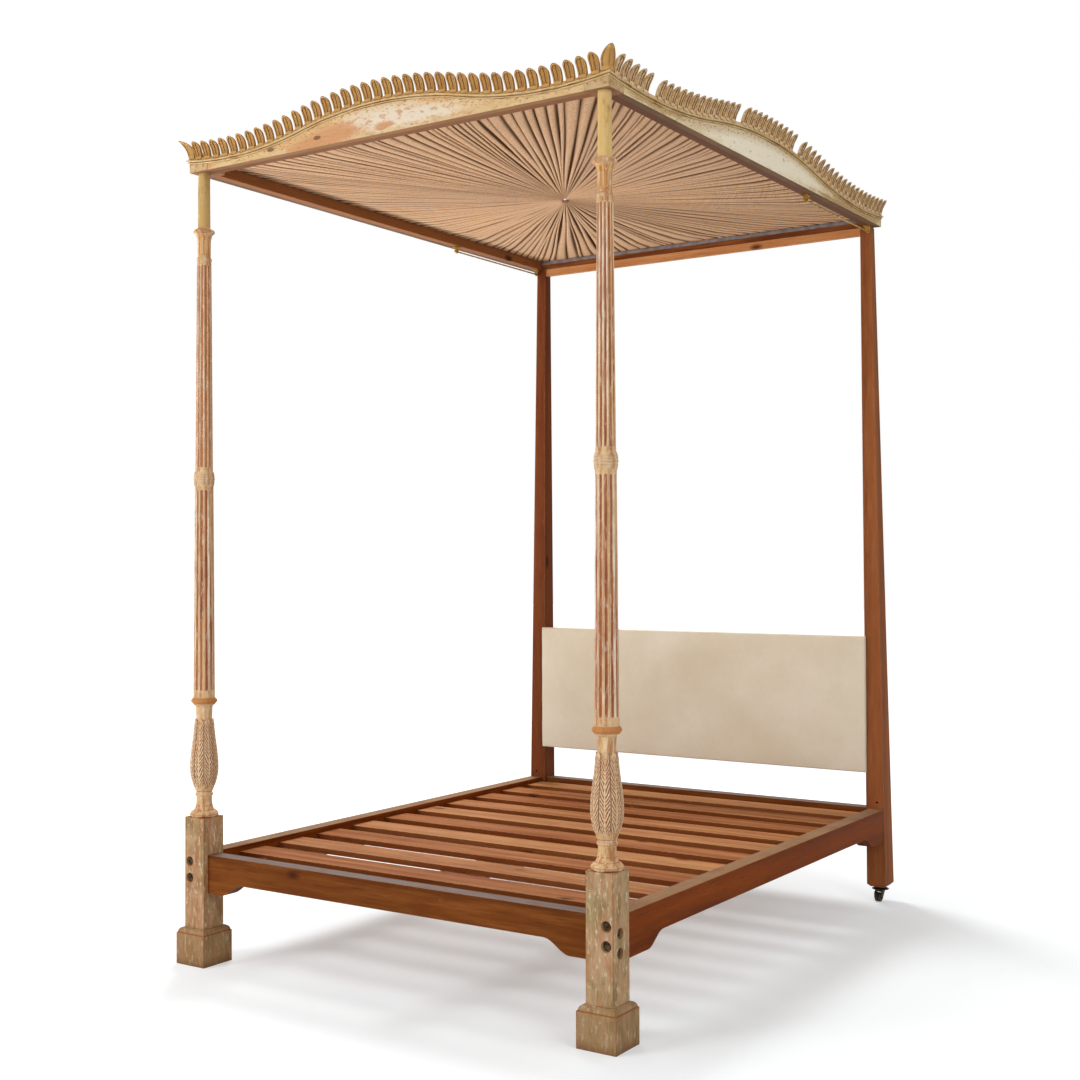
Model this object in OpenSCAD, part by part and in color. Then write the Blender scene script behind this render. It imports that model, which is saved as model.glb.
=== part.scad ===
// Four-poster bed with two turned, fluted and carved foot posts, two plain tapered head posts,
// a slatted bedstead and a tester with a serpentine cornice and a carved leaf cresting.
// X runs across the bed, the foot is towards -Y, the head towards +Y and the floor is at Z = 0.

/* [Overall] */
// Width over the two side fascias of the cornice
tester_w = 1564; // [1450:1:1700]
// Height from the floor to the underside of the tester
tester_z = 2528; // [2480:1:2600]
// Distance from the foot posts' axes to the front faces of the head posts
bed_l = 1935; // [1850:1:2050]
// Distance from a foot post's axis to the fascia faces beside it
post_inset = 30; // [26:1:36]

/* [Foot posts] */
// Side of the square block that takes the rails
block_w = 84; // [80:1:90]
// Height of the block's top
block_top = 465; // [440:1:480]
// Side of the plinth under the block
plinth_w = 122; // [112:1:135]
// Height of the plinth's flat sides
plinth_h = 99; // [80:1:110]
// Height of the sloped collar round the foot of the block
plinth_collar_h = 16; // [8:1:24]
// Height of the foot of the carved bulb
bulb_foot = 548; // [535:1:560]
// Height of the bulb's leaf tips
bulb_top = 775; // [750:1:790]
// Largest diameter of the bulb
bulb_d = 87; // [78:1:96]
// Diameter of the bulb at its leaf tips
bulb_top_d = 60; // [58:1:66]
// Number of leaves carved round the bulb
bulb_leaves = 8; // [6:1:10]
// Diameter of the neck that runs up through the bulb
neck_d = 49; // [44:1:52]
// Height of the lower ring
lower_ring_z = 834; // [820:1:850]
// Diameter of the lower ring
lower_ring_d = 82; // [74:1:92]
// Diameter at the foot of the lower fluted shaft
lower_shaft_d = 67; // [62:1:72]
// Diameter at the top of the lower fluted shaft
lower_shaft_top_d = 58; // [54:1:61]
// Height of the middle ring
mid_ring_z = 1544; // [1400:1:1700]
// Diameter of the middle ring
mid_ring_d = 68; // [65:1:76]
// Diameter at the foot of the upper fluted shaft
upper_shaft_d = 55; // [51:1:58]
// Diameter at the top of the upper fluted shaft
upper_shaft_top_d = 45.6; // [43:0.1:50]
// Number of flutes round each shaft
flutes = 12; // [8:1:14]
// Depth of a flute
flute_depth = 3.2; // [2:0.1:4]
// Height of the small collar under the bell
bell_foot = 2259; // [2200:1:2280]
// Height of the flared upper ring
upper_ring_z = 2340; // [2320:1:2400]
// Diameter of the upper ring
upper_ring_d = 68; // [60:1:74]
// Diameter at the foot of the plain top length
top_d = 39.5; // [37:0.1:44]
// Diameter where the post meets the tester
top_end_d = 37; // [32:0.1:40]

/* [Head posts] */
// Width across the bed of a head post at its foot
head_foot_w = 73; // [66:1:80]
// Width across the bed of a head post at its top
head_top_w = 40; // [38:1:54]
// Depth along the bed of a head post at its foot
head_foot_t = 84; // [76:1:90]
// Depth along the bed of a head post at its top
head_top_t = 41; // [36:1:56]
// Inward lean of the inner face from the foot to the top
head_lean = 13; // [8:1:15]
// Chamfer round the foot of a head post
head_chamfer = 10; // [3:0.5:14]

/* [Rails] */
// Height of the rails' top edges
rail_top = 348; // [335:1:370]
// Height of the rails' straight lower edges
rail_bottom = 266; // [255:1:275]
// Height of the bracket ends
bracket_z = 227; // [215:1:240]
// Flat length of a bracket end on the foot and head rails
foot_bracket = 60; // [40:1:90]
// Flat length of a bracket end on the side rails
side_bracket = 106; // [80:1:140]
// Length of the ogee between a bracket end and the straight edge
ogee_l = 86; // [60:1:110]
// Thickness of the side rails
side_rail_t = 55; // [45:1:58]
// Thickness of the foot and head rails
end_rail_t = 50; // [40:1:56]
// Setback of a side rail's outer face from the block's face
side_setback = 3; // [1:0.5:8]
// Setback of the foot rail's outer face from the block's face
foot_setback = 17; // [12:1:20]
// Setback of the head rail's front face from the head posts' front faces
head_setback = 15; // [10:1:22]

/* [Slats] */
// Number of slats
slat_count = 10; // [8:1:11]
// Width of a slat
slat_w = 112; // [90:1:165]
// Thickness of a slat
slat_t = 18; // [14:1:26]
// Drop of the slats' tops below the rails' tops
slat_drop = 18; // [10:1:26]
// Gap between a slat's end and the side rail
slat_end_gap = 2; // [0.5:0.5:6]
// Gap between the first slat and the foot rail
slat_foot_gap = 115; // [20:1:130]
// Width of the ledger that carries the slats
ledger_w = 70; // [18:1:80]
// Height of the ledger
ledger_h = 44; // [22:1:44]
// Width of the long bearer under the slats
bearer_w = 100; // [60:1:120]
// Height of the long bearer
bearer_h = 34; // [25:1:45]

/* [Bolts] */
// Diameter of a bolt's counterbore
bolt_sink_d = 29; // [26:0.5:32]
// Depth of a foot post's counterbore
bolt_sink = 14; // [12:1:20]
// Diameter of a bolt's shank
bolt_d = 10; // [8:0.5:12]
// Width across the flats of a bolt's square head
bolt_head_w = 17; // [14:0.5:18]
// Thickness of a bolt's head
bolt_head_t = 8; // [6:0.5:11]
// Depth that a bolt reaches into a rail
bolt_reach = 70; // [50:1:90]
// Clearance round a bolt's shank
bolt_play = 0.4; // [0.2:0.1:0.8]
// Height of the upper bolt of a side rail
side_bolt_z = 325; // [318:1:328]
// Height of the upper bolt of the foot rail
foot_bolt_z = 303; // [298:1:308]
// Distance between the two bolts of a rail's end
bolt_pitch = 52; // [40:1:56]
// Sideways offset of the side rails' bolts from the post's axis
side_bolt_offset = 21; // [14:0.5:22]
// Height of the single bolt in a head post
head_bolt_z = 307; // [295:1:320]
// Height of the spare hole in a head post's front face
spare_hole_z = 372; // [368:1:420]
// Diameter of the spare hole
spare_hole_d = 10; // [6:0.5:14]

/* [Headboard] */
// Height of the headboard's lower edge
headboard_z = 481; // [400:1:560]
// Height of the headboard
headboard_h = 510; // [400:1:650]
// Lap of the pad over each head post
headboard_lap = 6; // [3:1:12]
// Thickness of the pad at its edge
pad_edge_t = 12; // [8:0.5:18]
// Crown of the pad above its edge
pad_crown = 8; // [4:0.5:14]
// Thickness of the board behind the pad
backboard_t = 18; // [12:1:24]

/* [Cornice] */
// Height of the cornice at the two low dips of each side
dip_z = 28; // [26:0.5:36]
// Rise of the middle of each side above its dips
hump = 70; // [50:1:90]
// Place of the dips as a share of a side's half length
dip_at = 0.774; // [0.7:0.001:0.85]
// Thickness of the fascia boards
fascia_t = 22; // [18:0.5:26]
// Height of the cap moulding
moulding_h = 11; // [9:0.5:14]
// Projection of the cap moulding beyond the fascia
moulding_out = 10; // [8:0.5:14]
// Side of the square corner blocks
corner_block = 78; // [62:1:84]
// Projection of the corner blocks beyond the fascia
corner_proud = 2; // [1:0.5:4]

/* [Leaf cresting] */
// Number of leaves between the corner leaves of the foot
foot_leaves = 39; // [37:1:41]
// Number of leaf places along each side
side_leaves = 51; // [49:1:53]
// Places of the lost leaves on the right side, counted from the foot
lost_leaves = [6, 20, 31]; // [2:1:50]
// Height of a leaf above the moulding
leaf_h = 55; // [46:1:62]
// Width of a leaf at its widest
leaf_w = 30; // [26:0.5:32]
// Width of a leaf at its root
leaf_root_w = 24; // [20:0.5:26]
// Outward curl of a leaf's tip
leaf_curl = 24; // [16:1:30]
// Thickness of a leaf at its root
leaf_t = 9; // [7:0.5:11]
// Thickness of a leaf at its tip
leaf_tip_t = 4.5; // [3.5:0.5:6]
// Width of the raised rim round a leaf
leaf_rim = 4; // [3:0.5:5]
// Depth of the hollow inside the rim
leaf_hollow = 1.8; // [1:0.1:2.4]
// Height of the band that joins the leaves
leaf_band = 9; // [6:0.5:12]
// Height of a corner leaf, which is folded over the corner
corner_leaf_h = 62; // [52:1:76]
// Width of each half of a corner leaf
corner_leaf_half = 29; // [24:0.5:30]

/* [Tester frame] */
// Width of the rails inside the fascias
tester_rail_w = 30; // [24:1:36]
// Height of the rails inside the fascias
tester_rail_h = 35; // [30:1:42]
// Width of the board across the head
head_board_w = 22; // [20:1:40]
// Height of the lath between the head posts
lath_h = 28; // [20:1:36]
// Thickness of the lath
lath_t = 20; // [14:1:24]
// Diameter of the pins that hold the tester on the posts
pin_d = 10; // [8:0.5:12]
// Height of a pin above the post and depth below its top
pin_reach = 22; // [16:1:26]
// Clearance round a pin in the tester
pin_play = 0.5; // [0.3:0.1:1]

/* [Canopy] */
// Lap of the cloth over the tester rails
cloth_lap = 12; // [8:1:16]
// Thickness of the cloth
cloth_t = 2; // [1.5:0.1:3]
// Sag of the cloth's centre below its edges
cloth_sag = 30; // [10:1:34]
// Height of a fold from valley to crest
fold_h = 7; // [4:0.5:10]
// Number of folds along the foot edge
foot_folds = 15; // [10:1:17]
// Number of folds along a side edge
side_folds = 18; // [12:1:20]
// Diameter of the gathering button
button_d = 26; // [18:1:34]
// Thickness of the gathering button
button_t = 7; // [5:0.5:10]

/* [Curtain fittings] */
// Diameter of a curtain rod
rod_d = 6; // [5:0.5:9]
// Length of a curtain rod
rod_l = 600; // [450:5:700]
// Drop of a rod's axis below the tester
rod_drop = 20; // [16:0.5:26]
// Distance from a rod's end to the bracket near it
bracket_inset = 14; // [14:1:80]
// Width of a bracket
bracket_w = 24; // [20:1:26]
// Thickness of a bracket's metal
bracket_t = 4; // [3:0.5:5]

/* [Castors] */
// Height of the head posts' feet above the floor
castor_h = 56; // [55:1:62]
// Diameter of the castor's flange
castor_flange_d = 62; // [50:1:66]
// Diameter of the castor's socket above the flange
castor_socket_d = 44; // [36:1:48]
// Diameter of the wheel
wheel_d = 34; // [30:1:35]
// Width of the wheel's tread
wheel_w = 22; // [12:0.5:24]
// Distance from the swivel's axis to the wheel's axle
trail = 18; // [17:0.5:22]
// Diameter of the swivel's pin
swivel_pin_d = 10; // [8:0.5:11]
// Diameter of the wheel's axle
axle_d = 6; // [5:0.5:8]
// Radial clearance of the pin and of the axle
running = 0.05; // [0.03:0.01:0.08]
// Gap between parts that turn against each other
side_gap = 0.3; // [0.2:0.05:0.5]
// Thickness of the fork's cheeks
cheek_t = 4; // [2.5:0.5:5]

/* [Hidden] */
SIDES = ["left", "right"];

function slat_name(i) = str("slat_", i < 10 ? "0" : "", i);

// Plan positions
leaf_front = 4;
leaf_out = leaf_front + leaf_curl;
half_w = tester_w / 2;
head_board_set = 5;
tester_l = post_inset + bed_l + head_board_set + head_board_w;
foot_out = max(leaf_out, plinth_w / 2 - post_inset);
foot_face_y = -(post_inset + bed_l + head_foot_t - foot_out) / 2;
head_end_y = foot_face_y + tester_l;
side_mid_y = (foot_face_y + head_end_y) / 2;
post_x = half_w - post_inset;
post_y = foot_face_y + post_inset;
head_face_y = post_y + bed_l;
head_inner_x = post_x + block_w / 2 - side_setback + 5 - head_foot_w;

// Bedstead positions
block_face_x = post_x + block_w / 2;
side_rail_x = block_face_x - side_setback;
side_inner_x = side_rail_x - side_rail_t;
foot_rail_y = post_y - block_w / 2 + foot_setback;
foot_inner_y = foot_rail_y + end_rail_t;
head_rail_y = head_face_y + head_setback;
side_rail_y = post_y + block_w / 2;
side_rail_l = head_face_y - side_rail_y;
foot_rail_l = 2 * post_x - block_w;
slat_top = rail_top - slat_drop;
slat_z = slat_top - slat_t;
slat_l = 2 * (side_inner_x - slat_end_gap);
first_slat_y = foot_inner_y + slat_foot_gap + slat_w / 2;
last_slat_y = head_face_y - slat_end_gap - slat_w / 2;
slat_pitch = (last_slat_y - first_slat_y) / (slat_count - 1);

// Head post positions
head_rise = tester_z - castor_h;
head_top_x = head_inner_x - head_lean + head_top_w / 2;
castor_x = head_inner_x + head_foot_w / 2;
castor_y = head_face_y + head_foot_t / 2;

// Tester positions
tester_top = tester_z + tester_rail_h;
tester_inner_x = half_w - fascia_t - tester_rail_w;
tester_foot_y = foot_face_y + fascia_t + tester_rail_w;
head_board_y = head_face_y + head_board_set;
rod_x = tester_inner_x + tester_rail_w / 2;
rod_head_y = head_face_y - 1;

// Edges of the cloth lining and the place of its button
cloth_foot_y = tester_foot_y - cloth_lap;
cloth_head_y = head_board_y + cloth_lap;
cloth_mid_y = (cloth_foot_y + cloth_head_y) / 2;

// Wheel and swivel heights
wheel_z = wheel_d / 2;
flange_z = castor_h - 14;
crown_top = flange_z - side_gap;
crown_h = 6;
crown_z = crown_top - crown_h;
rivet_h = 2.5;
rivet_z = crown_z - side_gap - rivet_h;
fork_inner = wheel_w / 2 + side_gap;
wheel_y = castor_y - trail;

// Bolt and pin positions
bolt_offset_y = 6;
head_spot = 5;
foot_bolt_y = foot_rail_y + end_rail_t / 2 - bolt_offset_y;
head_bolt_x = (side_inner_x + side_rail_x) / 2;
head_bolt_y = head_back_y(head_bolt_z) - head_spot;
pin_wall = 4;
head_pin_set = 13;
head_pin_x = tester_inner_x + pin_wall + pin_play + pin_d / 2;
head_pin_y = head_face_y + head_pin_set;

// Leaf positions
leaf_start = 3;
corner_root = 22;
curve_seat = 0.04;
foot_pitch = tester_w / (foot_leaves + 1);
side_pitch = (tester_l - leaf_w / 2 - 1) / side_leaves;

wide = 3000;
sweep_fn = 720;
mirror_list = [-1, 1];

function side_sign(s) = s == "left" ? -1 : 1;

// Circle through a point with an upright tangent, from its rise and its run
function bow_radius(rise, run) = (rise * rise + run * run) / (2 * run);

// Serpentine curve of a cornice side: two low dips and a rounded hump, all of one radius
function dip_x(half) = dip_at * half;
function bend_r(half) = (pow(dip_x(half), 2) + hump * hump) / (4 * hump);
function hump_centre(half) = dip_z + hump - bend_r(half);
function dip_centre(half) = dip_z + bend_r(half);
function bend_angle(half) = asin(dip_x(half) / (2 * bend_r(half)));
function curve_z(x, half) =
    abs(x) < dip_x(half) / 2
        ? hump_centre(half) + sqrt(pow(bend_r(half), 2) - x * x)
        : dip_centre(half) - sqrt(pow(bend_r(half), 2) - pow(abs(x) - dip_x(half), 2));
function curve_slope(x, half) =
    abs(x) < dip_x(half) / 2
        ? -asin(x / bend_r(half))
        : sign(x) * asin((abs(x) - dip_x(half)) / bend_r(half));
function curve_point(x, half, off) =
    let (a = curve_slope(x, half)) [x - off * sin(a), curve_z(x, half) + off * cos(a)];

// Turned outline made of a half round
function bead(r, out, z, h, n = 8) =
    [for (i = [0 : n]) [r + out * sin(180 * i / n), z + h * i / n]];

// Hollow that sweeps from one radius to the next
function cove(r0, z0, r1, z1, n = 6) =
    [for (i = [0 : n]) [r0 + (r1 - r0) * sin(90 * i / n), z0 + (z1 - z0) * (1 - cos(90 * i / n))]];

// S-shaped step between two levels, made of two equal arcs
function ogee(x0, z0, x1, z1, n = 16) =
    [for (i = [0 : n]) [x0 + (x1 - x0) * i / n, z0 + (z1 - z0) * (1 - cos(180 * i / n)) / 2]];

// Radius of the bulb at a share of its height
bulb_peak = 0.32;
bulb_foot_r = neck_d / 2 + 3;
function bulb_r(t) =
    t < bulb_peak
        ? bulb_foot_r + (bulb_d / 2 - bulb_foot_r) * sin(90 * t / bulb_peak)
        : bulb_top_d / 2 + (bulb_d - bulb_top_d) / 2 * (1 + cos(180 * (t - bulb_peak) / (1 - bulb_peak))) / 2;
function bulb_outline(inset, from, to, n = 18) =
    [for (i = [0 : n]) let (t = from + (to - from) * i / n)
        [bulb_r(t) - inset, bulb_foot + (bulb_top - bulb_foot) * t]];

// Solid skin over a list of closed rings with the same number of points, its ends closed by fans
function ring_centre(ring) = [for (a = [0 : 2]) sum([for (p = ring) p[a]]) / len(ring)];
function sum(list) = [for (v = list) 1] * list;
module skin(rings, ends = []) {
    n = len(rings[0]);
    m = len(rings);
    hubs = len(ends) > 0 ? ends : [ring_centre(rings[0]), ring_centre(rings[m - 1])];
    points = concat([hubs[0]], [for (ring = rings) each ring], [hubs[1]]);
    last = len(points) - 1;
    sides = [for (j = [0 : m - 2]) for (k = [0 : n - 1]) each
        let (a = 1 + j * n + k, b = 1 + j * n + (k + 1) % n)
        [[a, b, b + n], [a, b + n, a + n]]];
    low_fan = [for (k = [0 : n - 1]) [0, 1 + (k + 1) % n, 1 + k]];
    high_fan = [for (k = [0 : n - 1]) let (j = 1 + (m - 1) * n) [last, j + k, j + (k + 1) % n]];
    polyhedron(points, concat(sides, low_fan, high_fan));
}

// Places a child on the left or the right, made for the right
module on_side(s) {
    if (s == "left")
        mirror([1, 0, 0])
            children();
    else
        children();
}

// Turned length of the foot post, from the block's top to the tester
module post_turning() {
    neck_r = neck_d / 2;
    base_r = block_w / 2;
    low_r = lower_ring_d / 2;
    mid_r = mid_ring_d / 2;
    high_r = upper_ring_d / 2;
    shaft_foot = lower_ring_z + 22;
    outline = concat(
        [[0, block_top - 1], [base_r - 1, block_top - 1]],
        bead(base_r - 1, 4, block_top, 15),
        cove(base_r - 4, block_top + 18, neck_r, block_top + 53),
        bead(neck_r, 4, block_top + 64, 12),
        [[neck_r + 1, bulb_foot - 5], [bulb_foot_r - 3, bulb_foot], [neck_r, bulb_foot + 20]],
        [[neck_r, bulb_top + 4], [neck_r + 1.5, lower_ring_z - 20], [low_r - 12, lower_ring_z - 14]],
        [[low_r - 7, lower_ring_z - 12], [low_r - 7, lower_ring_z - 9]],
        bead(low_r - 6, 6, lower_ring_z - 9, 18),
        [[low_r - 7, lower_ring_z + 9], [low_r - 7, lower_ring_z + 12]],
        cove(low_r - 8, lower_ring_z + 12, lower_shaft_d / 2, shaft_foot),
        [[lower_shaft_top_d / 2, mid_ring_z - 24]],
        [[mid_r - 3.5, mid_ring_z - 22], [mid_r - 2, mid_ring_z - 12]],
        bead(mid_r - 3, 2, mid_ring_z - 12, 7, 6),
        bead(mid_r - 3, 3, mid_ring_z - 5, 10, 6),
        bead(mid_r - 3, 2, mid_ring_z + 5, 7, 6),
        [[mid_r - 2, mid_ring_z + 12], [mid_r - 4, mid_ring_z + 22], [upper_shaft_d / 2, mid_ring_z + 25]],
        [[upper_shaft_top_d / 2, bell_foot - 18]],
        bead(upper_shaft_top_d / 2, 1.8, bell_foot - 14, 8, 6),
        [[upper_shaft_top_d / 2 - 2.3, bell_foot], [upper_shaft_top_d / 2 - 1.5, upper_ring_z - 26]],
        [[high_r - 8, upper_ring_z - 10], [high_r - 2, upper_ring_z - 5]],
        bead(high_r - 2, 2, upper_ring_z - 5, 9, 6),
        [[high_r - 6, upper_ring_z + 6], [top_d / 2 + 3, upper_ring_z + 9], [top_d / 2, upper_ring_z + 12]],
        [[top_end_d / 2, tester_z], [0, tester_z]]
    );
    rotate_extrude($fn = 72)
        polygon(outline);
}

// One flute: a sloping round-ended groove cutter between two heights of a tapering shaft
module flute(z0, r0, z1, r1) {
    cut_r = 7;
    lean = atan((r0 - r1) / (z1 - z0));
    translate([r0 + cut_r - flute_depth, 0, z0])
        rotate([0, -lean, 0]) {
            cylinder(r = cut_r, h = z1 - z0, $fn = 32);
            sphere(r = cut_r, $fn = 32);
            translate([0, 0, z1 - z0])
                sphere(r = cut_r, $fn = 32);
        }
}

module flute_ring(z0, r0, z1, r1) {
    for (i = [0 : flutes - 1])
        rotate([0, 0, 360 * i / flutes])
            flute(z0, r0, z1, r1);
}

// Carved leaves of the bulb: upright lobes parted by grooves, with scalloped tips
module bulb() {
    groove_w = 3.5;
    groove_depth = 3;
    scallop_d = 15;
    tall = bulb_top - bulb_foot;
    difference() {
        rotate_extrude($fn = 72)
            polygon(concat([[0, bulb_foot]], bulb_outline(0, 0, 1), [[0, bulb_top]]));
        for (i = [0 : bulb_leaves - 1])
            rotate([0, 0, 360 * i / bulb_leaves]) {
                rotate([90, 0, 0])
                    translate([0, 0, -groove_w / 2])
                        linear_extrude(groove_w)
                            polygon(concat(
                                bulb_outline(groove_depth, 0.1, 1.02, 12),
                                [[bulb_d, bulb_foot + 1.02 * tall], [bulb_d, bulb_foot + 0.1 * tall]]
                            ));
                translate([neck_d / 2 - 1, 0, bulb_top + 1])
                    rotate([0, 90, 0])
                        cylinder(d = scallop_d, h = bulb_d, $fn = 32);
            }
    }
}

// Notches that turn the collars beside the middle ring into short leaves
module collar_notches(z) {
    notch_d = 9;
    for (i = [0 : flutes - 1])
        rotate([0, 0, 360 * (i + 0.5) / flutes])
            translate([upper_shaft_d / 2 + 1.5, 0, z])
                rotate([0, 90, 0])
                    cylinder(d = notch_d, h = mid_ring_d, $fn = 24);
}

module foot_post(s) {
    end_gap = 16;
    bell_flute_r = 4;
    color("wheat")
        translate([side_sign(s) * post_x, post_y, 0])
            difference() {
                union() {
                    translate([-block_w / 2, -block_w / 2, plinth_h])
                        cube([block_w, block_w, block_top - plinth_h]);
                    post_turning();
                    bulb();
                }
                flute_ring(lower_ring_z + 22 + end_gap, lower_shaft_d / 2,
                    mid_ring_z - 24 - end_gap, lower_shaft_top_d / 2);
                flute_ring(mid_ring_z + 25 + end_gap, upper_shaft_d / 2,
                    bell_foot - 18 - end_gap, upper_shaft_top_d / 2);
                collar_notches(mid_ring_z - 24);
                collar_notches(mid_ring_z + 24);
                for (i = [0 : bulb_leaves - 1])
                    rotate([0, 0, 360 * i / bulb_leaves])
                        translate([upper_shaft_top_d / 2 + 1, 0, bell_foot + 10])
                            cylinder(r = bell_flute_r, h = upper_ring_z - bell_foot - 42, $fn = 24);
                post_bolt_holes(s);
                translate([0, 0, tester_z - pin_reach])
                    cylinder(d = pin_d, h = pin_reach + 1, $fn = 32);
            }
}

// Counterbores and shank holes in a foot post, in the post's own frame
module post_bolt_holes(s) {
    for (k = [0, 1]) {
        translate([side_sign(s) * side_bolt_offset, -block_w / 2, side_bolt_z - k * bolt_pitch])
            rotate([-90, 0, 0])
                bolt_hole(block_w);
        translate([side_sign(s) * block_w / 2, foot_bolt_y - post_y, foot_bolt_z - k * bolt_pitch])
            rotate([0, side_sign(s) * -90, 0])
                bolt_hole(block_w);
    }
}

// Counterbore at the start and a shank hole along +Z
module bolt_hole(depth) {
    translate([0, 0, -1])
        cylinder(d = bolt_sink_d, h = bolt_sink + 1, $fn = 48);
    cylinder(d = bolt_d + 2 * bolt_play, h = depth + 1, $fn = 32);
}

// Bolt with a square head that starts at a height along +Z
module bolt(head_z, length) {
    translate([-bolt_head_w / 2, -bolt_head_w / 2, head_z - bolt_head_t])
        cube([bolt_head_w, bolt_head_w, bolt_head_t]);
    translate([0, 0, head_z])
        cylinder(d = bolt_d, h = length, $fn = 32);
}

module plinth(s) {
    slope = 14;
    lip = 0.3;
    color("wheat")
        translate([side_sign(s) * post_x, post_y, 0]) {
            translate([-plinth_w / 2, -plinth_w / 2, 0])
                cube([plinth_w, plinth_w, plinth_h]);
            difference() {
                intersection() {
                    plinth_collar(slope);
                    rotate([0, 0, 90])
                        plinth_collar(slope);
                }
                translate([-block_w / 2 - lip, -block_w / 2 - lip, plinth_h])
                    cube([block_w + 2 * lip, block_w + 2 * lip, plinth_collar_h + 1]);
            }
        }
}

// Cyma outline of the plinth's collar, run along Y
module plinth_collar(slope) {
    half = plinth_w / 2 - 3;
    bow = [for (i = [0 : 6]) [half - slope * (1 - cos(15 * i)), plinth_h + plinth_collar_h * sin(15 * i)]];
    rotate([90, 0, 0])
        translate([0, 0, -plinth_w / 2])
            linear_extrude(plinth_w)
                polygon(concat(bow, [for (i = [6 : -1 : 0]) [-bow[i][0], bow[i][1]]]));
}

// Tapering square body of a right-hand head post
module head_post_body() {
    intersection() {
        translate([0, head_face_y + head_foot_t, 0])
            rotate([90, 0, 0])
                linear_extrude(head_foot_t)
                    polygon([
                        [head_inner_x + head_chamfer, castor_h],
                        [head_inner_x + head_foot_w - head_chamfer, castor_h],
                        [head_inner_x + head_foot_w, castor_h + head_chamfer],
                        [head_top_x + head_top_w / 2, tester_z],
                        [head_top_x - head_top_w / 2, tester_z],
                        [head_inner_x, castor_h + head_chamfer]
                    ]);
        rotate([90, 0, 90])
            linear_extrude(wide)
                polygon([
                    [head_face_y + head_chamfer, castor_h],
                    [head_face_y + head_foot_t - head_chamfer, castor_h],
                    [head_face_y + head_foot_t, castor_h + head_chamfer],
                    [head_face_y + head_top_t, tester_z],
                    [head_face_y, tester_z],
                    [head_face_y, castor_h + head_chamfer]
                ]);
    }
}

// Back face of a head post at a height
function head_back_y(z) = head_face_y + head_foot_t
    - (head_foot_t - head_top_t) * (z - castor_h - head_chamfer) / (head_rise - head_chamfer);

module head_post(s) {
    spare_depth = 25;
    color("saddlebrown")
        on_side(s)
            difference() {
                head_post_body();
                translate([head_bolt_x, head_face_y - 1, head_bolt_z])
                    rotate([-90, 0, 0])
                        cylinder(d = bolt_d + 2 * bolt_play, h = head_foot_t, $fn = 32);
                translate([head_bolt_x, head_bolt_y, head_bolt_z])
                    rotate([-90, 0, 0])
                        cylinder(d = bolt_sink_d, h = head_foot_t, $fn = 48);
                translate([head_bolt_x, head_face_y - 1, spare_hole_z])
                    rotate([-90, 0, 0])
                        cylinder(d = spare_hole_d, h = spare_depth, $fn = 32);
                translate([head_pin_x, head_pin_y, tester_z - pin_reach])
                    cylinder(d = pin_d, h = pin_reach + 1, $fn = 32);
            }
}

// Side view of a rail with a bracket at each end
module rail_outline(length, flat) {
    polygon(concat(
        [[0, rail_top], [0, bracket_z]],
        ogee(flat, bracket_z, flat + ogee_l, rail_bottom),
        ogee(length - flat - ogee_l, rail_bottom, length - flat, bracket_z),
        [[length, bracket_z], [length, rail_top]]
    ));
}

module foot_rail() {
    color("brown")
        difference() {
            translate([-foot_rail_l / 2, foot_rail_y + end_rail_t, 0])
                rotate([90, 0, 0])
                    linear_extrude(end_rail_t)
                        rail_outline(foot_rail_l, foot_bracket);
            for (m = mirror_list)
                for (k = [0, 1])
                    translate([m * foot_rail_l / 2, foot_bolt_y, foot_bolt_z - k * bolt_pitch])
                        rotate([0, m * -90, 0])
                            translate([0, 0, -1])
                                cylinder(d = bolt_d + 2 * bolt_play, h = bolt_reach + 3, $fn = 32);
        }
}

module head_rail() {
    half = head_inner_x;
    color("brown")
        difference() {
            translate([-half, head_rail_y + end_rail_t, 0])
                rotate([90, 0, 0])
                    linear_extrude(end_rail_t)
                        rail_outline(2 * half, foot_bracket);
            for (s = SIDES)
                on_side(s)
                    head_post_body();
        }
}

module side_rail(s) {
    color("brown")
        on_side(s)
            difference() {
                translate([side_inner_x, side_rail_y, 0])
                    rotate([90, 0, 90])
                        linear_extrude(side_rail_t)
                            rail_outline(side_rail_l, side_bracket);
                for (k = [0, 1])
                    translate([post_x + side_bolt_offset, side_rail_y - 1, side_bolt_z - k * bolt_pitch])
                        rotate([-90, 0, 0])
                            cylinder(d = bolt_d + 2 * bolt_play, h = bolt_reach + 3, $fn = 32);
                translate([head_bolt_x, head_face_y + 1, head_bolt_z])
                    rotate([90, 0, 0])
                        cylinder(d = bolt_d + 2 * bolt_play, h = bolt_reach + 3, $fn = 32);
            }
}

module ledger(s) {
    color("sienna")
        on_side(s)
            translate([side_inner_x - ledger_w, side_rail_y, slat_z - ledger_h])
                cube([ledger_w, side_rail_l, ledger_h]);
}

module centre_bearer() {
    color("sienna")
        translate([-bearer_w / 2, foot_inner_y, slat_z - bearer_h])
            cube([bearer_w, head_rail_y - foot_inner_y, bearer_h]);
}

module slat(i) {
    color("peru")
        translate([-slat_l / 2, first_slat_y + (i - 1) * slat_pitch - slat_w / 2, slat_z])
            cube([slat_l, slat_w, slat_t]);
}

module foot_bolts() {
    color("dimgray")
        for (s = SIDES)
            for (k = [0, 1]) {
                translate([side_sign(s) * (post_x + side_bolt_offset), post_y - block_w / 2,
                        side_bolt_z - k * bolt_pitch])
                    rotate([-90, 0, 0])
                        bolt(bolt_sink, block_w - bolt_sink + bolt_reach);
                translate([side_sign(s) * block_face_x, foot_bolt_y, foot_bolt_z - k * bolt_pitch])
                    rotate([0, side_sign(s) * -90, 0])
                        bolt(bolt_sink, block_w - bolt_sink + bolt_reach);
            }
}

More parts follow.
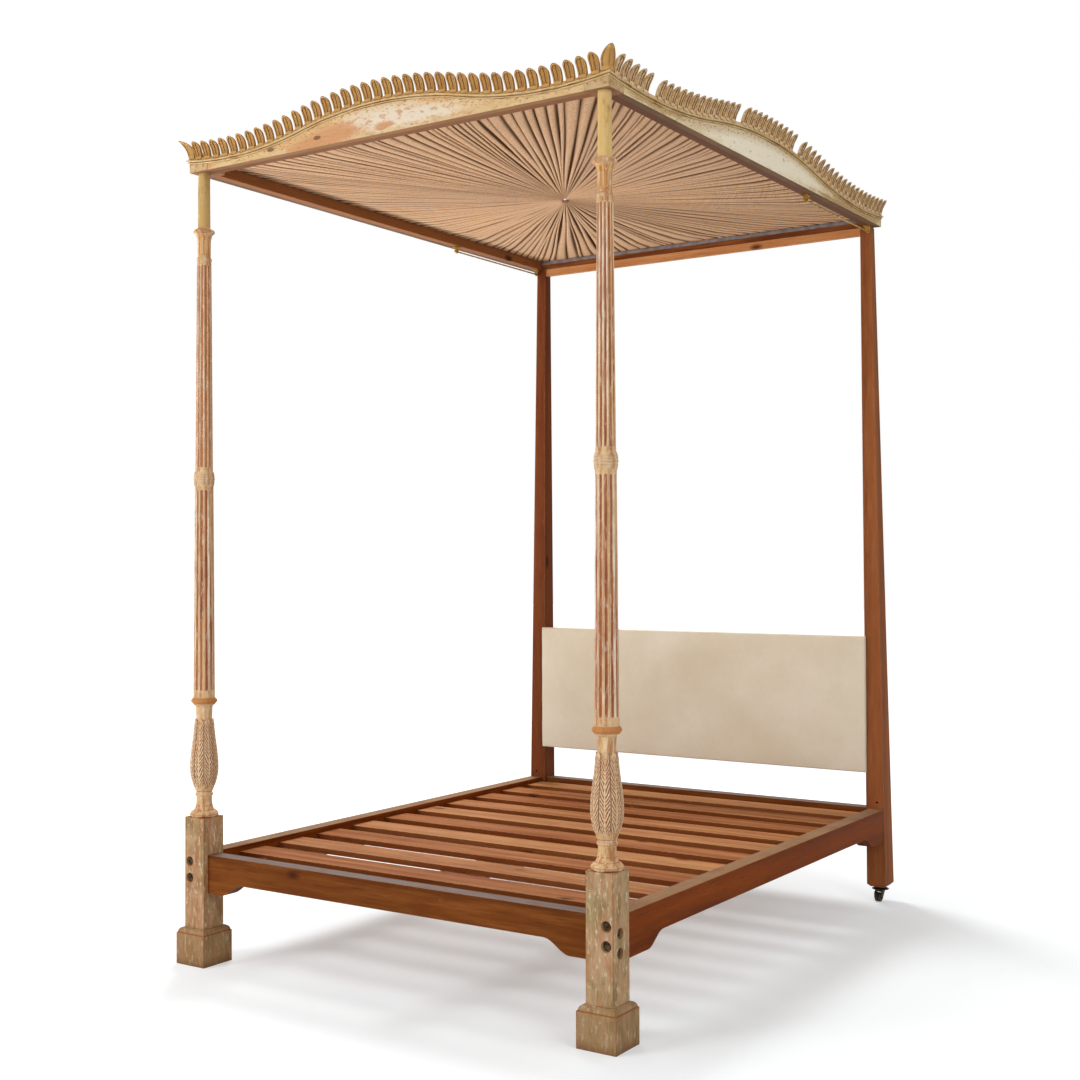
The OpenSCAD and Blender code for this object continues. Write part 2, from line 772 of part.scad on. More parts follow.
module head_bolts() {
    color("dimgray")
        for (s = SIDES)
            translate([side_sign(s) * head_bolt_x, head_bolt_y, head_bolt_z])
                rotate([90, 0, 0])
                    bolt(0, head_bolt_y - head_face_y + bolt_reach);
}

// Upholstered pad: a flat back, drawn-in edges and a low crown
module headboard_pad() {
    middle_z = headboard_z + headboard_h / 2;
    half = head_inner_x - head_lean * (middle_z - castor_h) / head_rise + headboard_lap;
    n = 64;
    rings = [[200, pad_crown], [100, 0.85 * pad_crown], [40, 0.5 * pad_crown], [9, 0],
        [0, -0.35 * pad_edge_t], [0, -0.8 * pad_edge_t], [3, -pad_edge_t]];
    color("linen")
        translate([0, head_face_y - pad_edge_t, headboard_z + headboard_h / 2])
            skin([for (r = rings) [for (k = [0 : n - 1])
                let (p = pad_point(k / n, half - r[0], headboard_h / 2 - r[0]))
                [p[0], -r[1], p[1]]]]);
}

// Point on a rectangle's outline with rounded corners, at a share of the way round
function pad_point(u, a, b) =
    let (t = 360 * u, c = cos(t), d = sin(t), e = 14,
        q = pow(pow(abs(c), e) + pow(abs(d), e), -1 / e))
    [a * c * q, b * d * q];

module headboard_back() {
    inset = 4;
    color("tan")
        difference() {
            translate([-head_inner_x, head_face_y, headboard_z + inset])
                cube([2 * head_inner_x, backboard_t, headboard_h - 2 * inset]);
            for (s = SIDES)
                on_side(s)
                    head_post_body();
        }
}

// Stations along a cornice side: one at each leaf place and one midway between two leaves
function stations(half) =
    half == half_w
        ? [for (j = [0 : 2 * foot_leaves + 2]) half - j * foot_pitch / 2]
        : [for (j = [0 : 2 * side_leaves]) half - j * side_pitch / 2];

// Area under the serpentine curve moved up by off, from the underside up, past the ends by over
module under_curve(half, off, over) {
    inner = [for (x = stations(half)) if (abs(x) < half - 1) x];
    points = [for (x = concat([half + over], inner, [-half - over])) curve_point(x, half, off)];
    ends = [points[0][0], points[len(points) - 1][0]];
    polygon(concat(points, [[ends[1], 0], [ends[0], 0]]));
}

// Plate under the curve between two depths, with outward as +Y
module curve_plate(half, off, over, front, thick) {
    translate([0, front, 0])
        rotate([90, 0, 0])
            linear_extrude(thick)
                under_curve(half, off, over);
}

// Section of the cap moulding: X is up from the curve and Y is outward
module moulding_section() {
    nose_r = 2.6;
    bead_r = 2;
    foot_y = corner_proud + 1;
    polygon(concat(
        [[0, -fascia_t / 2], [-moulding_h, -fascia_t / 2]],
        [for (i = [0 : 6]) [bead_r - moulding_h - bead_r * cos(30 * i), foot_y + bead_r * sin(30 * i)]],
        [[-2 * nose_r, foot_y]],
        [for (i = [0 : 6]) [-nose_r - nose_r * cos(30 * i), moulding_out - nose_r + nose_r * sin(30 * i)]]
    ));
}

// Sweeps a section along the serpentine curve, its three arcs running past the ends by over
module curve_sweep(half, over) {
    r = bend_r(half);
    bend = bend_angle(half);
    far = asin((half + over - dip_x(half)) / r);
    translate([0, 0, hump_centre(half)])
        rotate([-90, 0, 0])
            rotate([0, 0, -90 - bend])
                rotate_extrude(angle = 2 * bend, $fn = sweep_fn)
                    translate([r, 0])
                        children();
    for (m = [0, 1])
        mirror([m, 0, 0])
            translate([dip_x(half), 0, dip_centre(half)])
                rotate([-90, 0, 0])
                    rotate([0, 0, 90 - far])
                        rotate_extrude(angle = bend + far, $fn = sweep_fn)
                            translate([r, 0])
                                mirror([1, 0])
                                    children();
}

// Plan of a cornice side: mitred at an end where its flag is 1, and square where it is 0
module mitre_plan(half, low_end, high_end) {
    out = 60;
    in = 80;
    translate([0, 0, -10])
        linear_extrude(dip_z + hump + 120)
            polygon([
                [-half - low_end * out, out], [half + high_end * out, out],
                [half - high_end * in, -in], [-half + low_end * in, -in]
            ]);
}

// Turns a cornice side made with +Y outward to its place
module at_cornice(place) {
    if (place == "foot")
        translate([0, foot_face_y, tester_z])
            rotate([0, 0, 180])
                children();
    else
        on_side(place)
            translate([half_w, side_mid_y, tester_z])
                rotate([0, 0, -90])
                    children();
}

function half_of(place) = place == "foot" ? half_w : tester_l / 2;
function low_mitre(place) = place == "foot" ? 1 : 0;

module fascia(place) {
    half = half_of(place);
    block_in = corner_block - corner_proud;
    color("antiquewhite")
        at_cornice(place)
            difference() {
                curve_plate(half, -moulding_h - curve_seat, 0, 0, fascia_t);
                translate([half - block_in, -wide / 2, -1])
                    cube([wide, wide, tester_z]);
                if (place == "foot")
                    translate([-half + block_in - wide, -wide / 2, -1])
                        cube([wide, wide, tester_z]);
            }
}

module moulding(place) {
    half = half_of(place);
    color("khaki")
        at_cornice(place)
            intersection() {
                curve_sweep(half, 2 * moulding_out)
                    moulding_section();
                mitre_plan(half, low_mitre(place), 1);
            }
}

// Square post-top block, its top following the two cornice curves that meet there
module corner_block(s) {
    color("beige")
        difference() {
            intersection() {
                translate([side_sign(s) * (half_w + corner_proud - corner_block / 2),
                        foot_face_y - corner_proud + corner_block / 2, tester_z + dip_z + hump])
                    cube([corner_block, corner_block, 2 * (dip_z + hump)], center = true);
                at_cornice("foot")
                    curve_plate(half_w, -moulding_h - curve_seat, corner_proud, corner_proud + 1,
                        2 * corner_block);
                at_cornice(s)
                    curve_plate(tester_l / 2, -moulding_h - curve_seat, corner_proud, corner_proud + 1,
                        2 * corner_block);
            }
            translate([side_sign(s) * post_x, post_y, tester_z - 1])
                cylinder(d = pin_d + 2 * pin_play, h = pin_reach + 1.5, $fn = 32);
        }
}

// Tongue-shaped face of a leaf, drawn in at its root
module tongue(width, root, height, inset) {
    r = width / 2 - inset;
    neck = root / 2 - inset;
    top = height - width / 2;
    translate([0, top])
        circle(r = r, $fn = 48);
    polygon([[-neck, 0], [neck, 0], [r, top], [-r, top]]);
}

// One leaf that curls outward, with a raised rim and a midrib round its two hollows.
// Its root is at the origin and outward is +Y.
module leaf(width, root, height, curl, from) {
    front_r = bow_radius(height, curl);
    back_r = bow_radius(height, curl - leaf_tip_t + leaf_t);
    rib_w = 2.6;
    reach = 60;
    difference() {
        intersection() {
            leaf_extrude(reach)
                difference() {
                    tongue(width, root, height, 0);
                    translate([-width, -1])
                        square([2 * width, from + 1]);
                }
            translate([0, back_r - leaf_t, 0])
                curl_cylinder(back_r, width);
        }
        translate([0, front_r, 0])
            curl_cylinder(front_r, width + 2);
        intersection() {
            leaf_extrude(reach)
                difference() {
                    tongue(width, root, height, leaf_rim);
                    translate([-rib_w / 2, 0])
                        square([rib_w, height]);
                    translate([-width, -1])
                        square([2 * width, leaf_band + 5]);
                }
            translate([0, front_r, 0])
                curl_cylinder(front_r + leaf_hollow, width + 2);
        }
    }
}

module leaf_extrude(reach) {
    translate([0, reach, 0])
        rotate([90, 0, 0])
            linear_extrude(2 * reach)
                children();
}

module curl_cylinder(r, length) {
    rotate([0, 90, 0])
        cylinder(r = r, h = length, center = true, $fn = 180);
}

// Band that follows the curve under the leaves, past the ends by over
module leaf_strip(half, over) {
    difference() {
        curve_plate(half, leaf_band, over, leaf_front - 1, leaf_t - 3);
        translate([0, 1, 0])
            curve_plate(half, curve_seat, over + 1, leaf_front, leaf_t);
    }
}

module leaf_row(places, pitch, half, lost) {
    for (i = [1 : places])
        if (len(search(i, lost)) == 0)
            translate([half - i * pitch, leaf_front, curve_z(half - i * pitch, half)])
                leaf(leaf_w, leaf_root_w, leaf_h, leaf_curl, leaf_start);
}

module leaves(place, lost = []) {
    half = half_of(place);
    places = place == "foot" ? foot_leaves : side_leaves;
    pitch = place == "foot" ? foot_pitch : side_pitch;
    color("goldenrod")
        at_cornice(place) {
            difference() {
                leaf_strip(half, 0);
                translate([half - corner_root, -wide / 2, 0])
                    cube([wide, wide, wide]);
                if (place == "foot")
                    translate([-half + corner_root - wide, -wide / 2, 0])
                        cube([wide, wide, wide]);
            }
            leaf_row(places, pitch, half, lost);
        }
}

module corner_leaf(s) {
    corner = side_sign(s) * half_w;
    base_z = curve_z(half_w, half_w);
    color("goldenrod") {
        intersection() {
            union() {
                at_cornice("foot")
                    leaf_strip(half_w, leaf_front);
                at_cornice(s)
                    leaf_strip(tester_l / 2, leaf_front);
            }
            translate([corner, foot_face_y, tester_z + base_z])
                cube([2 * corner_root, 2 * corner_root, 4 * leaf_band], center = true);
        }
        translate([corner, foot_face_y, tester_z + base_z])
            rotate([0, 0, s == "left" ? 180 : -90])
                translate([leaf_front, leaf_front, 0])
                    folded_leaf();
    }
}

// Outward curl of a corner leaf at a height
function fold_curl(z) =
    let (r = bow_radius(corner_leaf_h, leaf_curl)) r - sqrt(r * r - z * z);

// Width of one half of a corner leaf at a height
function fold_half(z) =
    let (r = corner_leaf_half, root = r * leaf_root_w / leaf_w, top = corner_leaf_h - r)
    z < top ? root + (r - root) * z / top : sqrt(r * r - pow(z - top, 2));

// Thickness of a corner leaf at a height
function fold_t(z) =
    min(fold_half(z) / 2, leaf_t + (leaf_tip_t - leaf_t) * z / corner_leaf_h);

// Section of a corner leaf at a height: two halves at a right angle, each with a rim and a hollow
function fold_ring(z) =
    let (f = fold_curl(z), w = fold_half(z), t = fold_t(z),
        rim = min(leaf_rim, 0.3 * w), rib = min(1.6, 0.2 * w), step = 0.8,
        low = leaf_band + 5, high = corner_leaf_h - 2 * leaf_rim,
        d = leaf_hollow * max(0, min(1, (z - low) / 4, (high - z) / 4)),
        arm = [[f, w], [f, w - rim], [f - d, w - rim - step], [f - d, rib + step], [f, rib]])
    concat(
        [for (p = arm) [p[0], f - p[1], z]],
        [[f, f, z]],
        [for (j = [4 : -1 : 0]) [f - arm[j][1], arm[j][0], z]],
        [[f - w, f - t, z], [f - t, f - t, z], [f - t, f - w, z]]
    );

// Middle of the fold's thickness at a height
function fold_hub(z) =
    let (c = fold_curl(z) - fold_t(z) / 2) [c, c, z];

// Corner leaf with +X and +Y outward, its root at the origin
module folded_leaf() {
    steps = 18;
    end = corner_leaf_h - 0.5;
    levels = [for (i = [steps : -1 : 0]) leaf_start + (end - leaf_start) * sin(90 * i / steps)];
    skin([for (z = levels) fold_ring(z)], [fold_hub(levels[0]), fold_hub(levels[steps])]);
}

module tester_rail(place) {
    block_in = corner_block - corner_proud;
    color("chocolate")
        if (place == "foot")
            translate([-half_w + block_in, foot_face_y + fascia_t, tester_z])
                cube([tester_w - 2 * block_in, tester_rail_w, tester_rail_h]);
        else
            on_side(place)
                difference() {
                    translate([tester_inner_x, foot_face_y + block_in, tester_z])
                        cube([tester_rail_w, tester_l - block_in, tester_rail_h]);
                    translate([head_pin_x, head_pin_y, tester_z - 1])
                        cylinder(d = pin_d + 2 * pin_play, h = pin_reach + 1.5, $fn = 32);
                }
}

module tester_head_board() {
    color("chocolate")
        translate([-tester_inner_x, head_board_y, tester_z])
            cube([2 * tester_inner_x, head_board_w, tester_rail_h]);
}

module head_lath() {
    color("sandybrown")
        difference() {
            translate([-head_inner_x, head_board_y, tester_z - lath_h])
                cube([2 * head_inner_x, lath_t, lath_h]);
            for (s = SIDES)
                on_side(s)
                    head_post_body();
        }
}

module tester_pins() {
    color("dimgray") {
        for (m = mirror_list) {
            translate([m * post_x, post_y, tester_z - pin_reach])
                cylinder(d = pin_d, h = 2 * pin_reach, $fn = 32);
            translate([m * head_pin_x, head_pin_y, tester_z - pin_reach])
                cylinder(d = pin_d, h = 2 * pin_reach, $fn = 32);
        }
    }
}

// Point on a rectangle's outline, with the corners as points, at step k of the way round
function frame_point(k, nx, ny, x, y0, y1) =
    k < nx ? [-x + 2 * x * k / nx, y0]
    : k < nx + ny ? [x, y0 + (y1 - y0) * (k - nx) / ny]
    : k < 2 * nx + ny ? [x - 2 * x * (k - nx - ny) / nx, y1]
    : [-x, y1 - (y1 - y0) * (k - 2 * nx - ny) / ny];

// Cloth lining gathered to a centre button, with radial folds
module canopy_cloth() {
    nx = 2 * foot_folds;
    ny = 2 * side_folds;
    n = 2 * (nx + ny);
    x = tester_inner_x + cloth_lap;
    y0 = cloth_foot_y;
    y1 = cloth_head_y;
    seat = 0.3;
    flat = 0.96;
    centre = [0, cloth_mid_y];
    steps = [0.03, 0.4, 0.96, 1];
    low = [for (t = steps) [for (k = [0 : n - 1])
        let (p = frame_point(k, nx, ny, x, y0, y1) - centre,
            drop = cloth_sag * (1 - pow(min(1, t / flat), 2)),
            fold = (k % 2) * fold_h * (t < flat ? 0.35 + 0.65 * t : 0.6))
        [centre[0] + t * p[0], centre[1] + t * p[1], tester_top + seat - drop + fold]]];
    high = [for (j = [len(low) - 1 : -1 : 0]) [for (q = low[j]) q + [0, 0, cloth_t]]];
    color("rosybrown")
        skin([for (ring = concat(low, high)) [for (k = [n - 1 : -1 : 0]) ring[k]]]);
}

module canopy_button() {
    color("rosybrown")
        translate([0, cloth_mid_y, tester_top - cloth_sag])
            rotate_extrude($fn = 48)
                polygon(concat(
                    [[0, 0]],
                    [for (i = [0 : 8]) [button_d / 2 * cos(90 * i / 8), -button_t * sin(90 * i / 8)]]
                ));
}

module curtain_rod(s) {
    color("goldenrod")
        translate([side_sign(s) * rod_x, rod_head_y, tester_z - rod_drop])
            rotate([90, 0, 0])
                cylinder(d = rod_d, h = rod_l, $fn = 32);
}

// Angle bracket under a tester rail: a foot and a tapering hanger with an eye for the rod
module curtain_bracket() {
    eye_r = rod_d / 2 + bracket_t;
    half = bracket_w / 2;
    difference() {
        union() {
            translate([rod_x - half, -half, tester_z - bracket_t])
                cube([bracket_w, bracket_w, bracket_t]);
            translate([rod_x, bracket_t / 2, tester_z])
                rotate([90, 0, 0])
                    linear_extrude(bracket_t) {
                        polygon([[-half, 0], [-eye_r, -rod_drop], [eye_r, -rod_drop], [half, 0]]);
                        translate([0, -rod_drop])
                            circle(r = eye_r, $fn = 32);
                    }
        }
        translate([rod_x, bracket_w, tester_z - rod_drop])
            rotate([90, 0, 0])
                cylinder(r = rod_d / 2 + running, h = 2 * bracket_w, $fn = 32);
    }
}

module curtain_brackets() {
    color("goldenrod")
        for (s = SIDES)
            on_side(s)
                for (in = [bracket_inset, rod_l - bracket_inset])
                    translate([0, rod_head_y - in, 0])
                        curtain_bracket();
}

// Socket on the post's foot with a flange, and the pin that the fork turns on
module castor_plate(s) {
    pin_r = swivel_pin_d / 2;
    rivet_r = pin_r + 2.5;
    flange_r = castor_flange_d / 2;
    socket_r = castor_socket_d / 2;
    color("darkslategray")
        on_side(s)
            translate([castor_x, castor_y, 0])
                rotate_extrude($fn = 64)
                    polygon([
                        [0, rivet_z], [rivet_r, rivet_z], [rivet_r, rivet_z + rivet_h],
                        [pin_r, rivet_z + rivet_h], [pin_r, flange_z], [flange_r - 7, flange_z],
                        [flange_r, flange_z + 2], [flange_r, flange_z + 4], [flange_r - 5, flange_z + 6],
                        [socket_r - 4, flange_z + 7.5], [socket_r - 4, flange_z + 9],
                        [socket_r, flange_z + 9.5], [socket_r, castor_h], [0, castor_h]
                    ]);
}

// Cheek of the fork, seen from the side: X is along the trail and Y is up
module cheek_outline() {
    eye_r = axle_d / 2 + 4;
    hub_r = swivel_pin_d / 2 + 5;
    translate([-trail, wheel_z])
        circle(r = eye_r, $fn = 48);
    polygon([
        [-trail - eye_r, wheel_z], [-trail + eye_r, wheel_z], [hub_r - 4, crown_z],
        [hub_r, crown_z + 3], [hub_r, crown_top], [-hub_r, crown_top], [-trail - eye_r, crown_z - 3]
    ]);
}

module castor_fork(s) {
    hub_r = swivel_pin_d / 2 + 5;
    color("darkslategray")
        on_side(s)
            translate([castor_x, castor_y, 0])
                difference() {
                    union() {
                        translate([0, 0, crown_z])
                            cylinder(r = hub_r + 3, h = crown_h, $fn = 48);
                        for (m = mirror_list)
                            translate([m * (fork_inner + cheek_t / 2) - cheek_t / 2, 0, 0])
                                rotate([90, 0, 90])
                                    linear_extrude(cheek_t)
                                        cheek_outline();
                    }
                    translate([0, 0, crown_z - 1])
                        cylinder(d = swivel_pin_d + 2 * running, h = crown_h + 2, $fn = 48);
                    translate([-wide / 2, -trail, wheel_z])
                        rotate([0, 90, 0])
                            cylinder(d = axle_d, h = wide, $fn = 32);
                }
}

module castor_axle(s) {
    length = 2 * (fork_inner + cheek_t);
    color("darkslategray")
        on_side(s)
            translate([castor_x - length / 2, wheel_y, wheel_z])
                rotate([0, 90, 0])
                    cylinder(d = axle_d, h = length, $fn = 32);
}

module castor_wheel(s) {
    round = 2.5;
    color("dimgray")
        on_side(s)
            translate([castor_x, wheel_y, wheel_z])
                rotate([0, 90, 0])
                    rotate_extrude($fn = 64)
                        polygon(concat(
                            [[axle_d / 2 + running, wheel_w / 2], [axle_d / 2 + running, -wheel_w / 2]],
                            [for (i = [0 : 5]) [wheel_d / 2 - round * (1 - sin(18 * i)),
                                -wheel_w / 2 + round * (1 - cos(18 * i))]],
                            [for (i = [5 : -1 : 0]) [wheel_d / 2 - round * (1 - sin(18 * i)),
                                wheel_w / 2 - round * (1 - cos(18 * i))]]
                        ));
}

for (s = SIDES) {
    foot_post(s);
    plinth(s);
    head_post(s);
    side_rail(s);
    ledger(s);
    corner_leaf(s);
    corner_block(s);
    curtain_rod(s);
    castor_plate(s);
    castor_fork(s);
    castor_axle(s);
    castor_wheel(s);
}
for (place = ["foot", "left", "right"]) {
    fascia(place);
    moulding(place);
    leaves(place, place == "right" ? lost_leaves : []);
    tester_rail(place);
}
for (i = [1 : slat_count])
    slat(i);
foot_rail();
head_rail();
centre_bearer();
foot_bolts();
head_bolts();
headboard_pad();
headboard_back();
tester_head_board();
head_lath();
tester_pins();
canopy_cloth();
canopy_button();
curtain_brackets();
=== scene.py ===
import bpy
import math
import random
from mathutils import Matrix, Vector
from mathutils.bvhtree import BVHTree


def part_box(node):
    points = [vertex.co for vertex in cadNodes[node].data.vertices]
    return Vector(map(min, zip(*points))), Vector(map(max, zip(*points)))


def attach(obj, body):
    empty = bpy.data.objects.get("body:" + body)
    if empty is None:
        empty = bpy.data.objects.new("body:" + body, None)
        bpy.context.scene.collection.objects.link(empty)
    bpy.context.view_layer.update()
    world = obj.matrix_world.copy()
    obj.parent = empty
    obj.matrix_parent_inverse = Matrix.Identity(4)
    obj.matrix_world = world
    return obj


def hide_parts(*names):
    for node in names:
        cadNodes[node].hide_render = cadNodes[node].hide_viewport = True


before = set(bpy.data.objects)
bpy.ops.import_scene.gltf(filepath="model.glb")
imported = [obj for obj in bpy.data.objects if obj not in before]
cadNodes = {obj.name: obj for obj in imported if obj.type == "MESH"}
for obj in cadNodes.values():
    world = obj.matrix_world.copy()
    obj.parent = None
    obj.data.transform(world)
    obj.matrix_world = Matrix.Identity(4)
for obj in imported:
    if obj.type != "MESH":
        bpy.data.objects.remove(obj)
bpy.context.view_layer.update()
scene = bpy.context.scene
sides = ("left", "right")
signOf = {"left": -1, "right": 1}
print("frame loaded:", len(cadNodes), "nodes")

# Small helpers for colours, nodes and meshes


def rgb(code):
    parts = [int(code[i:i + 2], 16) / 255 for i in (0, 2, 4)]
    return tuple(c / 12.92 if c <= 0.04045 else ((c + 0.055) / 1.055) ** 2.4 for c in parts) + (1,)


def wire(tree, value, socket):
    if isinstance(value, bpy.types.NodeSocket):
        tree.links.new(value, socket)
    else:
        socket.default_value = value


def put(tree, kind, values=None, **settings):
    made = tree.nodes.new("ShaderNode" + kind)
    for key, value in settings.items():
        setattr(made, key, value)
    for key, value in (values or {}).items():
        wire(tree, value, made.inputs[key])
    return made


def calc(tree, operation, a, b=0.0, clamp=False):
    return put(tree, "Math", {0: a, 1: b}, operation=operation, use_clamp=clamp).outputs[0]


def plus(tree, a, b):
    return calc(tree, "ADD", a, b)


def minus(tree, a, b):
    return calc(tree, "SUBTRACT", a, b)


def times(tree, a, b):
    return calc(tree, "MULTIPLY", a, b)


def mix(tree, factor, a, b):
    made = put(tree, "Mix", data_type="RGBA")
    for index, value in ((0, factor), (6, a), (7, b)):
        wire(tree, value, made.inputs[index])
    return made.outputs[2]


def remap(tree, value, low, high, toLow=0.0, toHigh=1.0):
    return put(tree, "MapRange", {0: value, 1: low, 2: high, 3: toLow, 4: toHigh}).outputs[0]


def blend(tree, value, low, high, first, second):
    return mix(tree, remap(tree, value, low, high), rgb(first), rgb(second))


# Lays a colour over another one where a mask, or a value between low and high, says


def tint(tree, color, mask, code, share=1.0):
    return mix(tree, mask if share == 1 else times(tree, mask, share), color, rgb(code))


def tintBy(tree, color, value, low, high, code, share=1.0):
    return mix(tree, remap(tree, value, low, high, 0.0, share), color, rgb(code))


def within(tree, value, low, high, soft=0.003):
    return times(tree, remap(tree, value, low - soft, low + soft),
                 remap(tree, value, high + soft, high - soft))


def squareSum(tree, a, b):
    return plus(tree, times(tree, a, a), times(tree, b, b))


def stretch(tree, vector, scale, shift=(0, 0, 0)):
    return put(tree, "Mapping", {"Vector": vector, "Scale": scale, "Location": shift}).outputs[0]


def noise(tree, vector, scale, detail=3.0, rough=0.5):
    return put(tree, "TexNoise", {"Vector": vector, "Scale": scale, "Detail": detail,
                                  "Roughness": rough}).outputs["Fac"]


def axes(tree, vector):
    return put(tree, "SeparateXYZ", {0: vector}).outputs


def joined(tree, x, y, z=0.0):
    return put(tree, "CombineXYZ", {0: x, 1: y, 2: z}).outputs[0]


def facingOf(tree):
    return put(tree, "NewGeometry").outputs["Normal"]


def softNormal(tree, radius):  # rounds the edges in the shading
    return put(tree, "Bevel", {"Radius": radius}, samples=4).outputs[0]


def newGroup(name, inputs, outputs):
    tree = bpy.data.node_groups.new(name, "ShaderNodeTree")
    for label, kind, value in inputs:
        socket = tree.interface.new_socket(label, in_out="INPUT", socket_type="NodeSocket" + kind)
        if value is not None:
            socket.default_value = value
    for label in outputs:
        tree.interface.new_socket(label, in_out="OUTPUT", socket_type="NodeSocketFloat")
    enter, leave = tree.nodes.new("NodeGroupInput"), tree.nodes.new("NodeGroupOutput")
    return tree, enter.outputs, leave.inputs


def place(tree, group, values):
    made = tree.nodes.new("ShaderNodeGroup")
    made.node_tree = group
    for key, value in values.items():
        wire(tree, value, made.inputs[key])
    return made.outputs


def newMaterial(name):
    material = bpy.data.materials.new(name)
    material.use_nodes = True
    tree = material.node_tree
    tree.nodes.clear()
    where = put(tree, "TexCoord").outputs["Object"]
    return material, tree, where


def finishMaterial(tree, color, roughness, height, depth, normal=None, **fixed):
    bump = put(tree, "Bump", {"Strength": 1.0, "Distance": depth, "Height": height})
    if normal is not None:
        wire(tree, normal, bump.inputs["Normal"])
    shader = put(tree, "BsdfPrincipled", {"Base Color": color, "Roughness": roughness,
                                          "Normal": bump.outputs[0]})
    for key, value in fixed.items():
        shader.inputs[key.replace("_", " ")].default_value = value
    put(tree, "OutputMaterial", {0: shader.outputs[0]})


def dress(nodeName, material):
    mesh = cadNodes[nodeName].data
    mesh.materials.clear()
    mesh.materials.append(material)


def newPiece(name, points, faces, material, smooth=True, uvs=None):
    mesh = bpy.data.meshes.new(name)
    mesh.from_pydata(points, [], faces)
    if uvs is not None:
        layer = mesh.uv_layers.new(name="cloth")
        for loop in mesh.loops:
            layer.data[loop.index].uv = uvs[loop.vertex_index]
    mesh.polygons.foreach_set("use_smooth", [smooth] * len(faces))
    mesh.materials.append(material)
    piece = bpy.data.objects.new(name, mesh)
    scene.collection.objects.link(piece)
    return piece


def markPoints(piece, label, values):
    mark = piece.data.attributes.new(label, "FLOAT", "POINT")
    mark.data.foreach_set("value", values)


def ringFaces(rows, around):  # faces of a grid that closes on itself
    return [(j * around + i, j * around + (i + 1) % around,
             (j + 1) * around + (i + 1) % around, (j + 1) * around + i)
            for j in range(rows) for i in range(around)]


# Effects that several finishes share


def grainGroup():
    tree, given, sent = newGroup("woodGrain", [
        ("Vector", "Vector", None), ("Streak Scale", "Float", 60.0),
        ("Ring Scale", "Float", 7.0), ("Waviness", "Float", 3.0)],
        ["Figure", "Streaks", "Pores", "Height"])
    along = stretch(tree, given["Vector"], (1, 1, 0.07))
    streaks = noise(tree, along, given["Streak Scale"], 6, 0.62)
    bent = noise(tree, along, 5.0, 2)
    figure = put(tree, "TexWave", {"Vector": along, "Scale": given["Ring Scale"],
                                   "Distortion": given["Waviness"], "Detail": 3.0,
                                   "Detail Scale": 1.3}, wave_type="RINGS",
                 rings_direction="Z").outputs["Fac"]
    figure = plus(tree, times(tree, figure, 0.55), times(tree, bent, 0.45))
    fine = noise(tree, stretch(tree, given["Vector"], (1, 1, 0.02)), 520.0, 2)
    pores = remap(tree, fine, 0.6, 0.72)
    height = minus(tree, times(tree, streaks, 0.5), times(tree, pores, 0.6))
    for label, value in (("Figure", figure), ("Streaks", streaks), ("Pores", pores),
                         ("Height", height)):
        wire(tree, value, sent[label])
    return tree


def wearAndShadeGroup():
    tree, given, sent = newGroup("edgeWearAndShade", [
        ("Vector", "Vector", None), ("Edge Radius", "Float", 0.004),
        ("Patch Scale", "Float", 45.0), ("Patch Amount", "Float", 0.5),
        ("Hollow Depth", "Float", 0.012)], ["Edge", "Hollow"])
    rounded = put(tree, "Bevel", {"Radius": given["Edge Radius"]}, samples=6).outputs[0]
    same = put(tree, "VectorMath", {0: rounded, 1: facingOf(tree)}, operation="DOT_PRODUCT")
    turn = minus(tree, 1.0, same.outputs["Value"])
    patch = noise(tree, given["Vector"], given["Patch Scale"], 5, 0.65)
    patch = times(tree, minus(tree, patch, minus(tree, 1.0, given["Patch Amount"])), 6.0)
    edge = plus(tree, times(tree, turn, 9.0), patch)
    edge = times(tree, remap(tree, edge, 0.3, 1.2), remap(tree, turn, 0.01, 0.05))
    # Hollow comes from ambient occlusion; most finishes darken by it as painted shade
    openness = put(tree, "AmbientOcclusion", {"Distance": given["Hollow Depth"]},
                   samples=8, only_local=True).outputs["AO"]
    wire(tree, edge, sent["Edge"])
    wire(tree, minus(tree, 1.0, openness), sent["Hollow"])
    return tree


def chipGroup():
    tree, given, sent = newGroup("paintChips", [
        ("Vector", "Vector", None), ("Scale", "Float", 30.0), ("Amount", "Float", 0.3),
        ("Sharpness", "Float", 12.0)], ["Mask"])
    cloudy = noise(tree, given["Vector"], given["Scale"], 9, 0.68)
    limit = minus(tree, 0.72, times(tree, given["Amount"], 0.44))
    mask = times(tree, minus(tree, cloudy, limit), given["Sharpness"])
    wire(tree, calc(tree, "ADD", mask, 0.5, clamp=True), sent["Mask"])
    return tree


def weaveGroup():
    tree, given, sent = newGroup("plainWeave", [
        ("Vector", "Vector", None), ("Threads", "Float", 900.0)], ["Height", "Slub"])
    x, y = axes(tree, given["Vector"])[0:2]
    rate = times(tree, given["Threads"], math.pi)
    across = calc(tree, "SINE", times(tree, x, rate))
    down = calc(tree, "SINE", times(tree, y, rate))
    slub = noise(tree, stretch(tree, given["Vector"], (1, 0.12, 1)),
                 times(tree, given["Threads"], 0.35), 3)
    wire(tree, plus(tree, times(tree, across, down), slub), sent["Height"])
    wire(tree, slub, sent["Slub"])
    return tree


woodGrain, edgeWearAndShade = grainGroup(), wearAndShadeGroup()
paintChips, plainWeave = chipGroup(), weaveGroup()


def wearAndShadeMasks(tree, where, radius=0.003, patches=45.0, worn=0.5, hollow=0.012):
    return place(tree, edgeWearAndShade, {"Vector": where, "Edge Radius": radius, "Patch Scale": patches,
                                  "Patch Amount": worn, "Hollow Depth": hollow})


def chipMask(tree, vector, scale, amount, sharpness):
    return place(tree, paintChips, {"Vector": vector, "Scale": scale, "Amount": amount,
                                    "Sharpness": sharpness})["Mask"]


print("shared effects built")

# Camera at the photograph's place, fitted to the posts and rails

